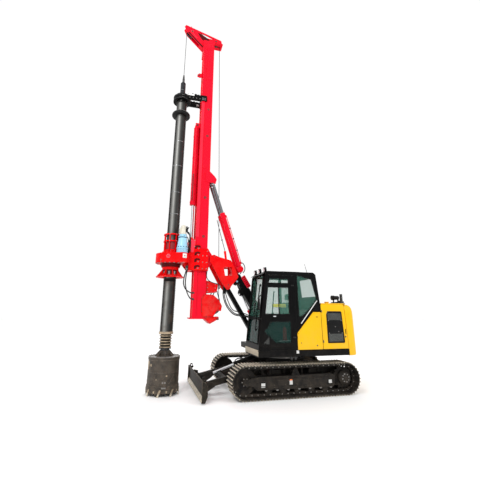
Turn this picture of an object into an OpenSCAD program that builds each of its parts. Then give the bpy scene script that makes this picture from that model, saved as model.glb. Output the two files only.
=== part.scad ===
// Rotary piling rig on a compact crawler excavator chassis.
// Millimetres. +X is the direction of travel, +Y is the cab side, +Z is up.
// Every module draws in rig coordinates, whose zero is the slew axis on the
// ground, and place() then moves the whole rig so that its box is centred.

/* [Undercarriage] */
// half of the width over the tracks
track_outer_y = 1150; // [1100:5:1200]
// width of one track shoe
shoe_w = 450; // [400:10:500]
// height over the track and its shoes
track_h = 680; // [620:5:740]
// centre of the front idler, ahead of the slew axis
idler_x = 1248; // [1150:1:1350]
// centre of the drive sprocket, behind the slew axis
sprocket_x = -1143; // [-1250:1:-1050]
// number of shoes on one track
shoe_count = 49; // [40:1:60]

/* [Blade] */
// half of the blade's width
blade_half_w = 1120; // [1000:5:1150]
// front of the cutting edge
blade_x = 2190; // [2100:5:2250]
// height of the cutting edge above the ground
blade_low = 20; // [0:5:120]
// height of the blade's top edge
blade_top = 400; // [350:5:480]
// arm pivot, ahead of the slew axis
blade_pivot_x = 720; // [715:1:725]
// arm pivot, above the ground
blade_pivot_z = 500; // [495:1:505]

/* [House] */
// half of the house's width
house_half_w = 1131; // [1080:1:1150]
// underside of the deck
deck_low = 821; // [800:1:850]
// top of the deck
deck_top = 955; // [930:1:990]
// top of the yellow body
body_top = 1951; // [1900:1:2000]
// tail swing radius of the counterweight
tail_r = 1830; // [1700:5:1900]
// seam between the cab and the engine door
seam_front = -595; // [-620:1:-570]
// seam between the engine door and the counterweight
seam_rear = -1268; // [-1300:1:-1230]

/* [Cab] */
// top of the cab's roof
cab_top = 2682; // [2600:1:2750]
// inner side of the cab, next to the boom
cab_y0 = 170; // [150:1:200]
// front of the cab at the floor
cab_front = 984; // [950:1:1020]
// front of the roof
roof_front = 776; // [740:1:820]
// rear of the roof
roof_rear = -518; // [-560:1:-480]
// wall thickness of the cab's pillars
pillar_t = 46; // [30:1:60]
// thickness of the cab door
door_t = 34; // [25:1:50]

/* [Boom links] */
// boom foot pin on the house, forward
boom_foot_x = 320; // [315:1:325]
// boom foot pin on the house, height
boom_foot_z = 1280; // [1275:1:1285]
// lower link pin on the house, forward
link_foot_x = 610; // [605:1:615]
// lower link pin on the house, height
link_foot_z = 1020; // [1018:1:1025]
// boom head pin on the luffing bracket, forward
boom_head_x = 1160; // [1157:1:1163]
// boom head pin on the luffing bracket, height
boom_head_z = 2620; // [2617:1:2623]
// lower link pin on the luffing bracket, forward
link_head_x = 1450; // [1447:1:1453]
// lower link pin on the luffing bracket, height
link_head_z = 2360; // [2357:1:2363]
// boom cylinder pin on the house, forward
cyl_foot_x = 430; // [427:1:433]
// boom cylinder pin on the house, height
cyl_foot_z = 1000; // [998:1:1003]
// boom cylinder pin on the boom, forward
cyl_head_x = 1062; // [1060:1:1064]
// boom cylinder pin on the boom, height
cyl_head_z = 2212; // [2210:1:2214]

/* [Mast] */
// pivot of the mast on the luffing bracket, forward
mast_pivot_x = 1834; // [1830:1:1838]
// pivot of the mast on the luffing bracket, height
mast_pivot_z = 3042; // [3038:1:3046]
// rear face of the mast box
mast_x0 = 2010; // [1990:1:2040]
// front face of the mast box
mast_x1 = 2300; // [2270:1:2320]
// half of the mast box's width
mast_half_w = 180; // [160:1:200]
// bottom of the mast
mast_z0 = 1585; // [1560:1:1620]
// top of the mast box
mast_z1 = 9690; // [9500:5:9800]
// pin of the luffing cylinders on the bracket, forward
luff_foot_x = 1122; // [1119:1:1125]
// pin of the luffing cylinders on the bracket, height
luff_foot_z = 2815; // [2812:1:2818]
// pin of the luffing cylinders on the mast, forward
luff_head_x = 1926; // [1923:1:1928]
// pin of the luffing cylinders on the mast, height
luff_head_z = 5200; // [5195:1:5205]
// side position of the luffing cylinders
luff_y = 138; // [136:0.5:138]

/* [Kelly] */
// axis of the kelly bar
kelly_x = 2905; // [2880:1:2930]
// outside radius of the outer kelly tube
kelly_r = 149.5; // [140:0.5:160]
// wall of the outer kelly tube
kelly_wall = 14; // [10:1:20]
// bottom of the outer kelly tube
kelly_z0 = 1250; // [1250:5:1300]
// top of the outer kelly tube
kelly_z1 = 7930; // [7900:5:8000]
// radius of the inner kelly
stub_r = 77; // [70:1:90]
// top of the inner kelly
stub_z1 = 8390; // [8300:5:8500]
// radius of the drilling bucket
bucket_r = 360; // [340:1:380]
// top of the drilling bucket
bucket_top = 780; // [775:1:785]

/* [Rotary head] */
// underside of the gearbox
gear_z0 = 2900; // [2890:1:2910]
// top of the gearbox
gear_z1 = 3130; // [3110:1:3140]
// radius of the gearbox's front
gear_r = 385; // [360:1:400]
// top of the guide cage
cage_top = 3645; // [3600:5:3700]
// half of the carriage's width
carriage_half_w = 240; // [230:1:260]
// bottom of the carriage
carriage_z0 = 2730; // [2700:5:2760]
// top of the carriage
carriage_z1 = 3520; // [3500:5:3540]

/* [Hidden] */
x_mid = (kelly_x + gear_r - tail_r) / 2;
blade_pivot = [blade_pivot_x, blade_pivot_z];
blade_rod_pin = [1800, 360];
blade_cyl_pin = [620, 740];
boom_foot = [boom_foot_x, boom_foot_z];
link_foot = [link_foot_x, link_foot_z];
boom_head = [boom_head_x, boom_head_z];
link_head = [link_head_x, link_head_z];
boom_cyl_foot = [cyl_foot_x, cyl_foot_z];
boom_cyl_head = [cyl_head_x, cyl_head_z];
mast_pivot = [mast_pivot_x, mast_pivot_z];
luff_foot = [luff_foot_x, luff_foot_z];
luff_head = [luff_head_x, luff_head_z];
drum_c = [1815, 1880];
door_y0 = house_half_w - door_t;
hood_pivot = [seam_front - 14, body_top - 4];
track_mid_y = track_outer_y - shoe_w / 2;
wrap_r = track_h / 2;
axle_z = track_h / 2;
pad_r = wrap_r - 26;      // outer face of the shoe plates
band_r = wrap_r - 90;     // inner face of the track links
track_base = idler_x - sprocket_x;
pin_gap = 0.05;
yellow = [0.93, 0.72, 0.09];
red = [0.80, 0.10, 0.12];
black = [0.09, 0.09, 0.10];
steel = [0.45, 0.44, 0.43];
chrome_c = [0.82, 0.83, 0.85];
rust = [0.24, 0.18, 0.15];
blue = [0.55, 0.74, 0.84];
cream = [0.86, 0.84, 0.76];
glass_c = [0.55, 0.66, 0.62, 0.35];

// which sub-part to draw

// ---- helpers -------------------------------------------------------------
module place() translate([-x_mid, 0, 0]) children();
module box3(x0, x1, y0, y1, z0, z1)
  translate([x0, y0, z0]) cube([x1 - x0, y1 - y0, z1 - z0]);
module ycyl(x, z, y0, y1, r, f = 48)
  translate([x, y0, z]) rotate([-90, 0, 0]) cylinder(r = r, h = y1 - y0, $fn = f);
module zcyl(x, y, z0, z1, r, f = 64)
  translate([x, y, z0]) cylinder(r = r, h = z1 - z0, $fn = f);
module xz(y0, y1)
  translate([0, y1, 0]) rotate([90, 0, 0]) linear_extrude(y1 - y0) children();
module both_y() { children(); mirror([0, 1, 0]) children(); }
// local frame of a bar: X runs from pin p to pin q in the XZ plane
module bar(p, q)
  translate([p[0], 0, p[1]]) rotate([0, -atan2(q[1] - p[1], q[0] - p[0]), 0]) children();
function span(p, q) = norm([q[0] - p[0], q[1] - p[1]]);
module tube_x(x0, x1, ro, ri)
  translate([x0, 0, 0]) rotate([0, 90, 0]) difference() {
    cylinder(r = ro, h = x1 - x0, $fn = 48);
    translate([0, 0, -1]) cylinder(r = ri, h = x1 - x0 + 2, $fn = 48);
  }
module rod_x(x0, x1, r)
  translate([x0, 0, 0]) rotate([0, 90, 0]) cylinder(r = r, h = x1 - x0, $fn = 48);

// ---- undercarriage -------------------------------------------------------
module carbody() {
  color(black) place() {
    difference() {
      union() {
        box3(-430, 430, -430, 430, 330, 690);
        // legs: [x centre, sign of y]
        for (l = [[480, 1], [480, -1], [-480, 1], [-480, -1]])
          xz(l[1] > 0 ? 380 : 108.05 - track_mid_y, l[1] > 0 ? track_mid_y - 108.05 : -380)
            polygon([[l[0] - 150, 300], [l[0] + 150, 300], [l[0] + 120, 520], [l[0] - 120, 520]]);
        box3(-520, 520, -400, 400, 360, 520);
      }
      translate([0, 0, 300]) cylinder(r = 210, h = 500, $fn = 64);
    }
    // blade pivot lugs
    both_y() for (y = [446, 556]) difference() {
      union() {
        xz(y, y + 22) polygon([[380, 330], [380, 640], [blade_pivot[0], 570], [blade_pivot[0], 430]]);
        ycyl(blade_pivot[0], blade_pivot[1], y, y + 22, 72);
      }
      ycyl(blade_pivot[0], blade_pivot[1], y - 1, y + 23, 32);
    }
    both_y() difference() {
      ycyl(blade_pivot[0], blade_pivot[1], 440, 586, 32);
      ycyl(blade_pivot[0], blade_pivot[1], 439, 587, 10);
    }
    both_y() box3(380, 452, 430, 578, 345, 640);
    // blade cylinder lugs and pin
    both_y() difference() {
      xz(44, 62) polygon([[425, 600], [425, 689], [442, 700], [560, 795], [640, 795], [690, 745], [650, 685], [520, 600]]);
      ycyl(620, 740, 40, 70, 22);
    }
    ycyl(620, 740, -66, 66, 22);
    box3(400, 470, -62, 62, 560, 689);
  }
}

module slew_ring() {
  color(steel) place() difference() {
    union() { zcyl(0, 0, 690, 760, 430); zcyl(0, 0, 760, 812, 400); }
    zcyl(0, 0, 680, 820, 300);
  }
}

module track_frame(s) {
  y0 = track_mid_y - 108;
  y1 = track_mid_y + 108;
  color(black) place() scale([1, s, 1]) {
    difference() {
      xz(y0, y1) polygon([[-830, 175], [980, 175], [1060, 230], [1060, 400], [960, 425], [-800, 440], [-880, 400], [-880, 230]]);
      xz(track_mid_y - 82, track_mid_y + 82) polygon([[-735, 170], [880, 170], [880, 330], [-735, 330]]);
      ycyl(idler_x, axle_z, track_mid_y - 74, track_mid_y + 74, band_r + 8);
      // step in the outer face
      box3(-560, 620, y1 - 14, y1 + 1, 345, 405);
    }
    // recoil fork around the idler axle
    for (y = [y0, y1 - 33]) difference() {
      xz(y, y + 33) polygon([[1040, 250], [1290, 285], [1290, 395], [1040, 390]]);
      ycyl(idler_x, axle_z, y - 1, y + 34, 30.05);
    }
    // motor mounting plate
    difference() {
      xz(y0, y0 + 33) polygon([[-860, 200], [-860, 430], [-1080, 500], [-1290, 420], [-1290, 260], [-1080, 180]]);
      ycyl(sprocket_x, axle_z, y0 - 5, y0 + 40, 105.05);
    }
    // carrier roller bracket
    difference() {
      box3(20, 120, track_mid_y - 75, track_mid_y - 53, 430, 560);
      ycyl(70, 530, track_mid_y - 76, track_mid_y - 52, 16.05);
    }
  }
}
module track_frame_left() track_frame(1);
module track_frame_right() track_frame(-1);

// centre line of the track at radius r: [length along, ...] -> [x, z, angle]
module along_track(i) {
  arc = PI * pad_r;
  total = 2 * track_base + 2 * arc;
  s = (i + 0.5) * total / shoe_count;
  if (s < track_base)
    translate([sprocket_x + s, axle_z + pad_r]) children();
  else if (s < track_base + arc)
    translate([idler_x, axle_z]) rotate(-(s - track_base) / pad_r * 180 / PI) translate([0, pad_r]) children();
  else if (s < 2 * track_base + arc)
    translate([idler_x - (s - track_base - arc), axle_z - pad_r]) rotate(180) children();
  else
    translate([sprocket_x, axle_z]) rotate(-180 - (s - 2 * track_base - arc) / pad_r * 180 / PI) translate([0, pad_r]) children();
}
module stadium(r) {
  translate([idler_x, axle_z]) circle(r = r, $fn = 96);
  translate([sprocket_x, axle_z]) circle(r = r, $fn = 96);
  translate([sprocket_x, axle_z - r]) square([track_base, 2 * r]);
}
module track(s) {
  color(black) place() scale([1, s, 1]) {
    xz(track_outer_y - shoe_w, track_outer_y) difference() {
      union() {
        stadium(pad_r);
        for (i = [0 : shoe_count - 1]) along_track(i) translate([-11, -6]) square([22, 32]);
      }
      stadium(pad_r - 18);
    }
    xz(track_mid_y - 62, track_mid_y + 62) difference() {
      stadium(pad_r - 17.5);
      stadium(band_r);
    }
  }
}
module track_left() track(1);
module track_right() track(-1);

module front_idler(s) {
  color(black) place() scale([1, s, 1]) translate([idler_x, track_mid_y, axle_z]) rotate([-90, 0, 0])
    rotate_extrude($fn = 96) polygon([[0, -92], [30, -92], [30, -60], [70, -60], [70, -26], [160, -26], [160, -46],
      [band_r - 1, -46], [band_r - 1, 46], [160, 46], [160, 26], [70, 26], [70, 60], [30, 60], [30, 92], [0, 92]]);
}
module front_idler_left() front_idler(1);
module front_idler_right() front_idler(-1);

module drive_sprocket(s) {
  color(black) place() scale([1, s, 1]) {
    difference() {
      union() {
        translate([sprocket_x, track_mid_y, axle_z]) rotate([-90, 0, 0])
          rotate_extrude($fn = 96) polygon([[0, -110], [105, -110], [105, -62], [170, -62], [170, -20], [215, -20],
            [215, 20], [150, 20], [150, 95], [110, 150], [0, 150]]);
        // teeth
        for (i = [0 : 17]) translate([sprocket_x, 0, axle_z]) rotate([0, i * 20, 0])
          translate([205, track_mid_y - 20, -14]) cube([40, 40, 28]);
      }
      // hub bolt ring
      for (i = [0 : 8]) translate([sprocket_x, 0, axle_z]) rotate([0, i * 40, 0])
        translate([185, track_mid_y, 0]) rotate([-90, 0, 0]) translate([0, 0, -30]) cylinder(r = 8, h = 60, $fn = 24);
    }
  }
}
module drive_sprocket_left() drive_sprocket(1);
module drive_sprocket_right() drive_sprocket(-1);

module track_rollers(s) {
  // bottom rollers by x, then the carrier roller
  color(steel) place() scale([1, s, 1]) {
    for (x = [-640, -300, 40, 380, 720])
      translate([x, track_mid_y, 170]) rotate([-90, 0, 0])
        rotate_extrude($fn = 48) polygon([[0, -81.9], [30, -81.9], [30, -74], [80, -74], [80, -36], [60, -30], [60, 30], [80, 36], [80, 74], [30, 74], [30, 81.9], [0, 81.9]]);
    translate([70, track_mid_y, 530]) rotate([-90, 0, 0])
      rotate_extrude($fn = 48) polygon([[0, -68], [16, -68], [16, -30], [58, -30], [58, 55], [30, 62], [0, 62]]);
  }
}
module track_rollers_left() track_rollers(1);
module track_rollers_right() track_rollers(-1);

// ---- blade ---------------------------------------------------------------
module dozer_blade() {
  color(black) place() {
    // mouldboard
    xz(-blade_half_w, blade_half_w) polygon([[blade_x, blade_low], [blade_x - 38, 110], [blade_x - 52, 215], [blade_x - 40, 320], [blade_x - 4, blade_top],
      [blade_x - 34, blade_top], [blade_x - 72, 325], [blade_x - 84, 215], [blade_x - 70, 110], [blade_x - 40, blade_low]]);
    // end plates
    both_y() xz(blade_half_w - 16, blade_half_w) polygon([[blade_x, blade_low], [blade_x - 6, blade_top], [blade_x - 60, blade_top], [blade_x - 120, 300], [blade_x - 120, 130], [blade_x - 70, blade_low]]);
    // back ribs and box
    xz(-700, 700) polygon([[blade_x - 80, 130], [blade_x - 80, 300], [blade_x - 150, 260], [blade_x - 150, 160]]);
    // top lifting eyes
    both_y() difference() {
      xz(930, 952) polygon([[blade_x - 34, blade_top - 2], [blade_x - 30, blade_top + 60], [blade_x - 80, blade_top + 70], [blade_x - 120, blade_top - 20], [blade_x - 70, blade_top - 60]]);
      ycyl(blade_x - 66, blade_top + 20, 929, 953, 20);
    }
  }
}
module blade_arms() {
  // everything ends 0.1 mm behind the rib box
  ax = blade_x - 150.1;
  color(black) place() {
    difference() {
      union() {
        both_y() {
          bar(blade_pivot, [2110, 205]) translate([-10, 475, -62]) cube([span(blade_pivot, [2110, 205]) + 4, 70, 124]);
          ycyl(blade_pivot[0], blade_pivot[1], 475, 545, 74);
          // side gussets
          xz(544, 560) polygon([[blade_x - 80, 110], [blade_x - 80, 320], [1840, 270], [1800, 200], [1960, 110]]);
        }
        // cross tube
        ycyl(1560, 322, -480, 480, 55);
        // cylinder lugs on a foot plate
        both_y() xz(46, 66) polygon([[blade_x - 60, 180], [blade_x - 80, 320], [1830, 430], [1760, 410], [1740, 340], [1800, 290], [1980, 180]]);
        box3(ax - 30, ax + 5, -480, 480, 170, 255);
      }
      box3(ax, 2300, -700, 700, 60, 500);
      both_y() ycyl(blade_pivot[0], blade_pivot[1], 474, 546, 32.05);
      both_y() ycyl(blade_rod_pin[0], blade_rod_pin[1], 45, 67, 19.4);
    }
    // thin enough for the rod's eye to drift round it
    ycyl(blade_rod_pin[0], blade_rod_pin[1], -70, 70, 19.4);
  }
}
module blade_cylinder() {
  color(black) place() bar(blade_cyl_pin, blade_rod_pin) difference() {
    union() {
      tube_x(90, 640, 55, 42);
      rod_x(30, 102, 38);
      rod_x(91, 104, 43);
      ycyl(0, 0, -40, 40, 46);
      tube_x(610, 640, 58, 26);
    }
    ycyl(0, 0, -41, 41, 22.05);
  }
}
module blade_cylinder_rod() {
  color(chrome_c) place() bar(blade_cyl_pin, blade_rod_pin) {
    l = span(blade_cyl_pin, blade_rod_pin);
    rod_x(420, l - 35, 25);
    rod_x(400, 430, 41);
    difference() {
      ycyl(l, 0, -42, 42, 46);
      ycyl(l, 0, -43, 43, 25.4);
    }
  }
}

// ---- house ---------------------------------------------------------------
module house_deck() {
  color(black) place() {
    difference() {
      union() {
        box3(seam_rear, cab_front, cab_y0, house_half_w, deck_low, deck_top);
        box3(seam_rear, 760, -360, cab_y0, deck_low, deck_top);
        box3(seam_rear, 720, -house_half_w, -360, deck_low, deck_top);
        zcyl(0, 0, 817, 830, 400);
      }
      zcyl(0, 0, 800, 1000, 180);
    }
    // boom foot plates
    both_y() difference() {
      xz(112, 140) polygon([[60, deck_top - 1], [200, 1330], [260, 1380], [380, 1380], [430, 1330], [690, 1110], [740, 1040], [758, deck_top - 1]]);
      ycyl(boom_foot[0], boom_foot[1], 111, 141, 40);
      ycyl(link_foot[0], link_foot[1], 111, 141, 35);
      ycyl(boom_cyl_foot[0], boom_cyl_foot[1], 111, 141, 24);
    }
    ycyl(boom_foot[0], boom_foot[1], -146, 146, 40);
    ycyl(link_foot[0], link_foot[1], -146, 146, 35);
    ycyl(boom_cyl_foot[0], boom_cyl_foot[1], -144, 144, 24);
  }
}

module cab_outline() polygon([[cab_front, deck_top + 2], [roof_front + 8, cab_top - 60], [roof_front - 40, cab_top],
  [roof_rear + 60, cab_top], [roof_rear, cab_top - 50], [seam_front + 8, body_top + 4], [seam_front + 8, 1772], [-395, 1772], [42, 1312], [42, deck_top + 2]]);
module door_outline() polygon([[60, deck_top + 45], [cab_front - 46, deck_top + 45], [cab_front - 150, 1780], [roof_front - 68, cab_top - 92], [60, cab_top - 92]]);
module cab_shell() {
  color(black) place() {
    difference() {
      xz(cab_y0, house_half_w) cab_outline();
      // inside
      xz(cab_y0 + pillar_t, house_half_w - pillar_t) offset(delta = -pillar_t) cab_outline();
      // door opening, 6 mm larger than the door
      xz(house_half_w - pillar_t - 1, house_half_w + 1) offset(delta = 6) door_outline();
      // left rear window
      xz(house_half_w - pillar_t - 1, house_half_w + 1) polygon([[-14, 2618], [-405, 2518], [-530, 2004], [-105, 1660], [-22, 1660]]);
      // right side windows: front and rear
      xz(cab_y0 - 1, cab_y0 + pillar_t + 1) polygon([[60, 1500], [cab_front - 190, 1500], [roof_front - 110, cab_top - 110], [60, cab_top - 110]]);
      xz(cab_y0 - 1, cab_y0 + pillar_t + 1) polygon([[0, 1700], [0, cab_top - 110], [-400, cab_top - 110], [-500, 1990], [-150, 1700]]);
      // windscreen and lower front window
      translate([0, 0, 0]) {
        xz(cab_y0 + 70, house_half_w - 70) polygon([[700, cab_top - 105], [900, cab_top - 105], [1100, 1640], [760, 1640]]);
        xz(cab_y0 + 70, house_half_w - 70) polygon([[760, 1600], [1100, 1600], [1100, 1090], [760, 1090]]);
      }
      // room for the door's hinges
      for (z = [1190, 2330]) zcyl(52, house_half_w + 6, z - 6, z + 66, 18, 32);
      // the walls, the roof and the floor are separate panels
      for (y = [cab_y0 + pillar_t, house_half_w - pillar_t]) box3(-700, 1100, y - 0.05, y + 0.05, 900, 2800);
      for (z = [deck_top + 50, cab_top - 80]) box3(-700, 1100, cab_y0 + pillar_t - 0.02, house_half_w - pillar_t + 0.02, z - 0.05, z + 0.05);
      // rear window
      xz(cab_y0 + 80, house_half_w - 80) polygon([[-700, 2120], [-400, 2120], [-400, cab_top - 130], [-700, cab_top - 130]]);
    }
  }
}
module front_pane(z0, z1) {
  // a pane parallel to the front of the cab
  k = (cab_front - roof_front - 8) / (cab_top - 60 - deck_top - 2);
  xz(cab_y0 + 71, house_half_w - 71) polygon([[cab_front - k * (z0 - deck_top) - 26, z0], [cab_front - k * (z0 - deck_top) - 20, z0],
    [cab_front - k * (z1 - deck_top) - 20, z1], [cab_front - k * (z1 - deck_top) - 26, z1]]);
}
module cab_windows() {
  color(glass_c) place() {
    front_pane(1641, cab_top - 106);
    front_pane(1091, 1599);
    xz(house_half_w - 26, house_half_w - 20) offset(delta = -1) polygon([[-14, 2618], [-405, 2518], [-530, 2004], [-105, 1660], [-22, 1660]]);
    xz(cab_y0 + 20, cab_y0 + 26) offset(delta = -1) polygon([[60, 1500], [cab_front - 190, 1500], [roof_front - 110, cab_top - 110], [60, cab_top - 110]]);
    xz(cab_y0 + 20, cab_y0 + 26) offset(delta = -1) polygon([[0, 1700], [0, cab_top - 110], [-400, cab_top - 110], [-500, 1990], [-150, 1700]]);
    k = (seam_front + 8 - roof_rear) / (body_top + 4 - cab_top + 50);
    xz(cab_y0 + 81, house_half_w - 81) polygon([for (p = [[20, 2121], [26, 2121], [26, cab_top - 131], [20, cab_top - 131]]) [roof_rear + k * (p[1] - cab_top + 50) + p[0], p[1]]]);
  }
}
module cab_door() {
  color(black) place() difference() {
    union() {
      xz(door_y0, house_half_w) door_outline();
      // hinge knuckles
      for (z = [1190, 2330]) zcyl(52, house_half_w + 6, z, z + 60, 12, 32);
      for (z = [1190, 2330]) box3(52, 80, house_half_w - 6, house_half_w + 6, z, z + 60);
    }
    // windows: transom, main, lower
    xz(door_y0 - 1, house_half_w + 1) polygon([[210, 2407], [716, 2407], [684, 2514], [210, 2514]]);
    xz(door_y0 - 1, house_half_w + 1) polygon([[212, 1716], [811, 1716], [730, 2314], [212, 2314]]);
    xz(door_y0 - 1, house_half_w + 1) polygon([[186, 1100], [564, 1100], [830, 1330], [830, 1400], [773, 1405], [690, 1560], [186, 1560]]);
    for (z = [1190, 2330]) zcyl(52, house_half_w + 6, z - 1, z + 61, 5, 24);
  }
}
module cab_door_glass() {
  color(glass_c) place() {
    xz(door_y0 + 12, door_y0 + 18) offset(delta = -1) polygon([[210, 2407], [716, 2407], [684, 2514], [210, 2514]]);
    xz(door_y0 + 12, door_y0 + 18) offset(delta = -1) polygon([[212, 1716], [811, 1716], [730, 2314], [212, 2314]]);
    xz(door_y0 + 12, door_y0 + 18) offset(delta = -1) polygon([[186, 1100], [564, 1100], [830, 1330], [830, 1400], [773, 1405], [690, 1560], [186, 1560]]);
  }
}

module operator_seat() {
  color([0.28, 0.31, 0.29]) place() {
    box3(120, 560, 420, 880, deck_top + pillar_t + 4, 1289.9);
    xz(420, 880) polygon([[110, 1290], [640, 1290], [650, 1400], [600, 1430], [235, 1420], [235, 1400], [110, 1400]]);
    xz(430, 870) polygon([[110, 1400.1], [232, 1400.1], [110, 2010], [10, 2010], [20, 1800]]);
    xz(540, 760) polygon([[20, 2030], [90, 2030], [70, 2200], [0, 2200]]);
    box3(20, 80, 600, 700, 2010.1, 2029.9);
    // arm consoles with their levers
    for (y = [290, 905]) {
      box3(200, 640, y, y + 100, 1340.1, 1560);
      box3(200, 300, y, y + 100, deck_top + pillar_t + 4, 1340);
      zcyl(560, y + 50, 1560.1, 1760, 17, 24);
    }
    for (y = [560, 690]) {
      box3(790, 850, y, y + 50, deck_top + pillar_t + 4, 1120);
      zcyl(820, y + 25, 1120.1, 1480, 10, 24);
    }
  }
}

module engine_block() {
  color(steel) place() box3(-1480, -720, -480, 420, deck_top + 25, 1640);
}
module side_panel() {
  color(yellow) place() {
    difference() {
      xz(house_half_w - 30, house_half_w) polygon([[38, deck_top + 4], [38, 1308], [-397, 1766], [seam_front + 4, 1766], [seam_front + 4, deck_top + 4]]);
      translate([-500, house_half_w - 4, 1620]) rotate([-90, 0, 0]) cylinder(r = 9, h = 10, $fn = 24);
    }
    box3(seam_front + 4, seam_front + 40, cab_y0, house_half_w - 29, deck_top + 4, 1766);
  }
}
module engine_door() {
  color(yellow) place() difference() {
    union() {
      xz(house_half_w - 26, house_half_w) polygon([[seam_front - 6, deck_top + 6], [seam_front - 6, body_top - 6], [seam_rear + 44, body_top - 6], [seam_rear + 6, deck_top + 6]]);
      for (z = [1100, 1760]) zcyl(seam_front - 12, house_half_w + 6, z, z + 50, 10, 24);
      for (z = [1100, 1760]) box3(seam_front - 40, seam_front - 12, house_half_w - 4, house_half_w + 4, z, z + 50);
    }
    // grille opening with slats left in
    for (i = [0 : 13]) {
      z = 1135 + i * 45;
      box3(seam_rear + 118, seam_front - 150, house_half_w - 30, house_half_w + 1, z, z + 26);
    }
    for (z = [1100, 1760]) zcyl(seam_front - 12, house_half_w + 6, z - 1, z + 51, 4, 24);
  }
}
module tail_plan(r) {
  intersection() {
    translate([0, 0]) circle(r = r, $fn = 128);
    translate([-2000, -house_half_w]) square([4000, 2 * house_half_w]);
  }
}
module engine_hood() {
  color(yellow) place() difference() {
    union() {
      translate([0, 0, body_top - 2]) linear_extrude(22) intersection() {
        tail_plan(tail_r - 150);
        translate([-1900, -house_half_w + 10]) square([1900 + seam_front - 26, 2 * house_half_w - 20]);
      }
      ycyl(hood_pivot[0], hood_pivot[1] + 12, 300, 420, 11, 24);
      ycyl(hood_pivot[0], hood_pivot[1] + 12, -420, -300, 11, 24);
      for (y = [300, -420]) box3(seam_front - 40, hood_pivot[0], y, y + 120, body_top + 2, body_top + 16);
      // filler cap
      zcyl(-960, 800, body_top + 10, body_top + 62, 55, 48);
    }
    ycyl(hood_pivot[0], hood_pivot[1] + 12, -421, 421, 4, 24);
  }
}
module counterweight() {
  color(yellow) place() difference() {
    translate([0, 0, deck_low - 10]) linear_extrude(body_top - deck_low) difference() {
      tail_plan(tail_r);
      translate([seam_rear - 2, -1200]) square([4000, 2400]);
    }
    // recess for the engine
    translate([0, 0, deck_top + 10]) linear_extrude(body_top - deck_top - 70) intersection() {
      circle(r = tail_r - 130, $fn = 128);
      translate([-2000, -960]) square([2000 + seam_rear + 10, 1920]);
    }
    // tow pin bore
    zcyl(-1740, 0, deck_low - 20, deck_low + 160, 25, 32);
    // top edge taper at the sides
    both_y() xz(700, 1200) polygon([[seam_rear + 10, body_top + 20], [seam_rear - 60, body_top + 20], [seam_rear - 60, body_top - 12], [seam_rear - 142, body_top - 110], [seam_rear - 700, body_top - 110], [seam_rear - 700, body_top + 30]]);
  }
}
module right_side_cover() {
  color(yellow) place() {
    difference() {
      union() {
        xz(-house_half_w, -360) polygon([[540, deck_top + 3], [540, 1260], [440, 1430], [200, 1560], [seam_front - 4, 1700], [seam_front - 4, deck_top + 3]]);
        box3(seam_rear + 4, seam_front - 3.5, -house_half_w, -house_half_w + 30, deck_top + 3, body_top - 8);
      }
      // inside
      xz(-house_half_w + 30, -390) polygon([[510, deck_top - 10], [510, 1245], [425, 1402], [190, 1530], [seam_front + 30, 1660], [seam_front + 30, deck_top - 10]]);
      for (i = [0 : 13]) box3(seam_rear + 118, seam_front - 150, -house_half_w - 1, -house_half_w + 31, 1135 + i * 45, 1161 + i * 45);
    }
    // bulkhead behind the cab and the covers
    box3(seam_front - 3.5, seam_front + 3, -361, cab_y0 - 1, deck_top + 3, body_top - 8);
    box3(seam_front - 3.5, seam_front + 3, -house_half_w + 25, -355, 1690, body_top - 8);
  }
}
module exhaust_pipe() {
  color(steel) place() difference() {
    union() {
      zcyl(-1490, 640, body_top + 20.5, body_top + 70, 62, 48);
      zcyl(-1490, 640, body_top + 40, body_top + 262, 36, 48);
    }
    zcyl(-1490, 640, body_top + 60, body_top + 270, 31, 48);
  }
}
module air_precleaner() {
  color(black) place() {
    // foot, two posts and the lying body
    box3(-1420, -1200, 560, 720, body_top + 20.5, body_top + 66);
    for (x = [-1262, -1390]) zcyl(x, 640, body_top + 60, body_top + 150, 17, 32);
    translate([-1212, 640, body_top + 165]) rotate([0, -90, 0]) cylinder(r = 46, h = 206, $fn = 48);
    translate([-1205, 640, body_top + 165]) rotate([0, -90, 0]) cylinder(r = 58, h = 80, $fn = 48);
  }
}

// ---- boom links ----------------------------------------------------------
module upper_boom() {
  l = span(boom_foot, boom_head);
  color(black) place() difference() {
    union() {
      bar(boom_foot, boom_head) {
        xz(-98, 98) polygon([[-50, -60], [160, -100], [l - 260, -100], [l - 110, -70], [l + 10, -66], [l + 10, 66], [l - 110, 95], [160, 100], [-50, 60]]);
      }
      ycyl(boom_foot[0], boom_foot[1], -105, 105, 82);
      ycyl(boom_head[0], boom_head[1], -98, 98, 80);
      both_y() xz(52, 72) polygon([[950, 2180], [1060, 2140], [1120, 2210], [1110, 2290], [1010, 2340]]);
    }
    // fork for the bracket lug
    bar(boom_foot, boom_head) translate([l - 140, -62, -140]) cube([260, 124, 280]);
    bar(boom_foot, boom_head) translate([l - 460, -52, -220]) cube([210, 104, 200]);
    ycyl(boom_foot[0], boom_foot[1], -106, 106, 40.05);
    ycyl(boom_head[0], boom_head[1], -99, 99, 36);
    ycyl(boom_cyl_head[0], boom_cyl_head[1], -99, 99, 24);
  }
  color(steel) place() {
    ycyl(boom_head[0], boom_head[1], -104, 104, 36);
    // thin in the middle, for the rod's eye to drift round it
    ycyl(boom_cyl_head[0], boom_cyl_head[1], -80, 80, 17.2);
    both_y() ycyl(boom_cyl_head[0], boom_cyl_head[1], 48, 80, 24);
  }
}
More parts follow.
